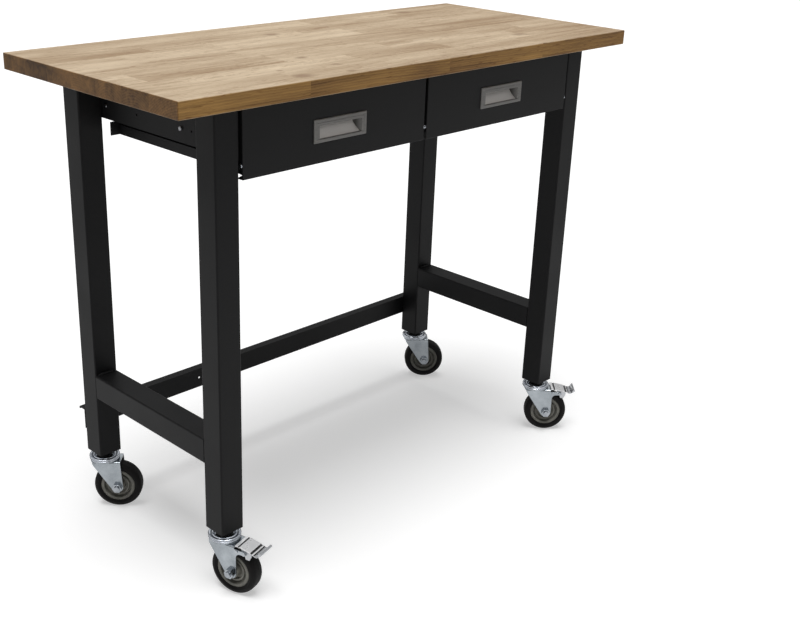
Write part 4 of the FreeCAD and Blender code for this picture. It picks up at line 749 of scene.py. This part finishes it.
light = add(tree, "MapRange", {"Value": fibre.outputs["Fac"], "From Min": 0.25, "From Max": 0.75,
                               "To Min": -0.2, "To Max": 0.2})
ringed = add(tree, "Math", {0: rings.outputs["Fac"], 1: RING_SHADE, 2: light.outputs["Result"]},
             operation="MULTIPLY_ADD")
staved = add(tree, "Math", {0: own_tone, 1: STAVE_SHADE, 2: ringed.outputs["Value"]},
             operation="MULTIPLY_ADD")
streaked = add(tree, "Math", {0: streak.outputs["Fac"], 1: staved.outputs["Value"]}, operation="ADD")
depth = add(tree, "Math", {0: streaked.outputs["Value"], 1: OAK_LIFT}, operation="ADD").outputs["Value"]
face_tone = two_tone(tree, depth, "#917554", "#d8c4a7", 0.1, 0.9)
# Edge and end tones: darker and browner, partly the oil in the end grain and partly painted shade on the
# sides.
edge_tone = two_tone(tree, depth, "#563515", "#c19451", 0.1, 0.9)
end_tone = two_tone(tree, depth, "#33200b", "#8a6437", 0.2, 0.8)
edge_tone_with_shade = add(tree, "MixRGB", {"Fac": sawn_edge, "Color1": face_tone, "Color2": edge_tone})
tone_with_shade = add(tree, "MixRGB", {"Fac": end_grain, "Color1": edge_tone_with_shade.outputs["Color"], "Color2": end_tone})
long_pores = add(tree, "MapRange", {"Value": end_grain, "To Min": 0.7, "To Max": 0.1})
pore_share = add(tree, "Math", {0: pores.outputs["Result"], 1: long_pores.outputs["Result"]},
                 operation="MULTIPLY")
pored = add(tree, "MixRGB", {"Fac": pore_share.outputs["Value"], "Color1": tone_with_shade.outputs["Color"],
                             "Color2": linear("#a98a64")}, blend_type="MULTIPLY")
knotted = add(tree, "MixRGB", {"Fac": knots, "Color1": pored.outputs["Color"], "Color2": linear("#6a4828")})
dull = add(tree, "MapRange", {"Value": fibre.outputs["Fac"], "To Min": 0.44, "To Max": 0.6})
bump = add(tree, "Bump", {"Height": ringed.outputs["Value"], "Strength": 0.2, "Distance": OAK_RELIEF})
plug(tree, shader, {"Base Color": knotted.outputs["Color"], "Roughness": dull.outputs["Result"],
                    "Specular IOR Level": 0.3, "Normal": bump.outputs["Normal"]})

worktop = make_piece("worktop_staves", [(slab_points, worktop_faces)], oak, "frame", "worktop",
                     smooth=False)
face_corners = slab_points.reshape(-1, 3)[worktop_faces]
centres = face_corners.mean(1)
row_of = np.clip(np.searchsorted(row_lines, centres[:, 1]) - 1, 0, len(STAVE_ROWS) - 1)
staves_in_row = [len(ends) for ends in stave_ends]
counts = np.cumsum([0] + staves_in_row)
along = np.stack([np.searchsorted(ends[:-1], centres[:, 0]) for ends in stave_ends])
stave_of = counts[row_of] + np.take_along_axis(along, row_of[None], 0)[0]
luck = np.random.default_rng(7)
shifts = luck.uniform((-3.0, -0.05, 0.02), (3.0, 0.05, 0.09), (counts[-1], 3))
row_middles = np.repeat((row_lines[1:] + row_lines[:-1]) / 2, staves_in_row)
shifts[:, 1] -= row_middles
shifts[:, 2] -= middle_z
facing = np.abs(np.cross(face_corners[:, 2] - face_corners[:, 0], face_corners[:, 3] - face_corners[:, 1]))
facing /= np.linalg.norm(facing, axis=1)[:, None]
attributes = worktop.data.attributes
attributes.new("stave_shift", "FLOAT_VECTOR", "FACE").data.foreach_set("vector", shifts[stave_of].ravel())
tone_of_face = np.concatenate(stave_tones)[stave_of]
for zone, share in (("stave_tone", tone_of_face), ("sawn_edge", 1 - facing[:, 2]),
                    ("end_grain", facing[:, 0])):
    attributes.new(zone, "FLOAT", "FACE").data.foreach_set("value", share)


# Studio
# A pale seamless floor under a broad overhead light, with an even white surround.

FLOOR_HALF = 40.0
FLOOR_LIFT = 0.45
floor_mesh = bpy.data.meshes.new("studio_floor")
floor_mesh.from_pydata([(-FLOOR_HALF, -FLOOR_HALF, 0), (FLOOR_HALF, -FLOOR_HALF, 0),
                        (FLOOR_HALF, FLOOR_HALF, 0), (-FLOOR_HALF, FLOOR_HALF, 0)], [], [(0, 1, 2, 3)])
floor = bpy.data.objects.new("studio_floor", floor_mesh)
bpy.context.scene.collection.objects.link(floor)


def seen_directly(tree):
    """One where the camera or a mirror looks, zero where a surface only takes light from another."""
    rays = add(tree, "LightPath", {}).outputs
    direct = add(tree, "Math", {0: rays["Is Camera Ray"], 1: rays["Is Glossy Ray"]}, operation="MAXIMUM")
    return direct.outputs["Value"]


# Matt paper: white, with a faint tooth. What the camera sees of it is lifted to the white of the surround.
PAPER_TOOTH = 4 * MM
paper, tree, shader, place = new_finish("white_paper_floor")
tooth = add(tree, "TexNoise", {"Vector": place, "Scale": 1 / PAPER_TOOTH, "Detail": 1.0})
sheet = two_tone(tree, tooth.outputs["Fac"], "#d8d8d8", "#dbdbdb")
plug(tree, shader, {"Base Color": sheet, "Roughness": 0.9, "Specular IOR Level": 0.0})
lift = add(tree, "Math", {0: seen_directly(tree), 1: FLOOR_LIFT}, operation="MULTIPLY")
glow = add(tree, "Emission", {"Strength": lift.outputs["Value"]})
both = add(tree, "AddShader", {0: shader.outputs["BSDF"], 1: glow.outputs["Emission"]})
plug(tree, tree.nodes["Material Output"], {"Surface": both.outputs["Shader"]})
floor_mesh.materials.append(paper)

SURROUND_LIGHT = 0.1
world = bpy.data.worlds.new("studio_surround")
world.use_nodes = True
bpy.context.scene.world = world
tree = world.node_tree
level = add(tree, "MapRange", {"Value": seen_directly(tree), "To Min": SURROUND_LIGHT, "To Max": 1.0})
plug(tree, tree.nodes["Background"], {"Color": (1.0, 1.0, 1.0, 1.0), "Strength": level.outputs["Result"]})

# A dark curtain stands round the room, out of the camera's sight, so that bright metal can mirror it.
CURTAIN_RADIUS = 6.0
CURTAIN_HEIGHT = 2.6
CURTAIN_STEPS = 64
around = np.linspace(0, 2 * np.pi, CURTAIN_STEPS, endpoint=False)
hem = CURTAIN_RADIUS * np.stack([np.cos(around), np.sin(around), np.zeros(CURTAIN_STEPS)], -1)
curtain_points = np.concatenate([hem, hem + np.array([0.0, 0.0, CURTAIN_HEIGHT])])
curtain_faces = quads(2, CURTAIN_STEPS, ring_columns=True)
curtain_mesh = bpy.data.meshes.new("studio_curtain")
curtain_mesh.from_pydata(curtain_points.tolist(), [], curtain_faces.tolist())
curtain = bpy.data.objects.new("studio_curtain", curtain_mesh)
bpy.context.scene.collection.objects.link(curtain)
curtain.visible_camera = False
curtain.visible_diffuse = False
curtain.visible_shadow = False
curtain.visible_transmission = False
FOLD_WIDTH = 0.25
wool, tree, shader, place = new_finish("dark_wool_curtain")
folds = add(tree, "TexNoise", {"Vector": place, "Scale": 1 / FOLD_WIDTH, "Detail": 1.0})
cloth = two_tone(tree, folds.outputs["Fac"], "#2c2c2e", "#38383a")
plug(tree, shader, {"Base Color": cloth, "Roughness": 1.0, "Specular IOR Level": 0.0})
curtain_mesh.materials.append(wool)

# A broad light from overhead; its spread and tilt are in degrees.
KEY_STRENGTH = 2.95
KEY_SPREAD = 40
KEY_TILT = (5, -6, 0)
key_light = bpy.data.lights.new("overhead_light", "SUN")
key_light.energy = KEY_STRENGTH
key_light.angle = np.radians(KEY_SPREAD)
key = bpy.data.objects.new("overhead_light", key_light)
key.rotation_euler = np.radians(KEY_TILT)
bpy.context.scene.collection.objects.link(key)

# The camera stands where the picture was taken from; its turn is in degrees, its lens and sensor in mm.
CAMERA_PLACE = (-1.6210, -1.6429, 1.3274)
CAMERA_TURN = (68.035, -1.636, -45.084)
CAMERA_LENS = 51.953
CAMERA_SENSOR = 36.0
CAMERA_SHIFT = (0.0433, -0.0078)
camera_data = bpy.data.cameras.new("photo_camera")
camera_data.lens = CAMERA_LENS
camera_data.sensor_width = CAMERA_SENSOR
camera_data.shift_x, camera_data.shift_y = CAMERA_SHIFT
camera = bpy.data.objects.new("photo_camera", camera_data)
camera.location = CAMERA_PLACE
camera.rotation_euler = np.radians(CAMERA_TURN)
bpy.context.scene.collection.objects.link(camera)
bpy.context.scene.camera = camera
bpy.context.scene.view_settings.view_transform = "Standard"
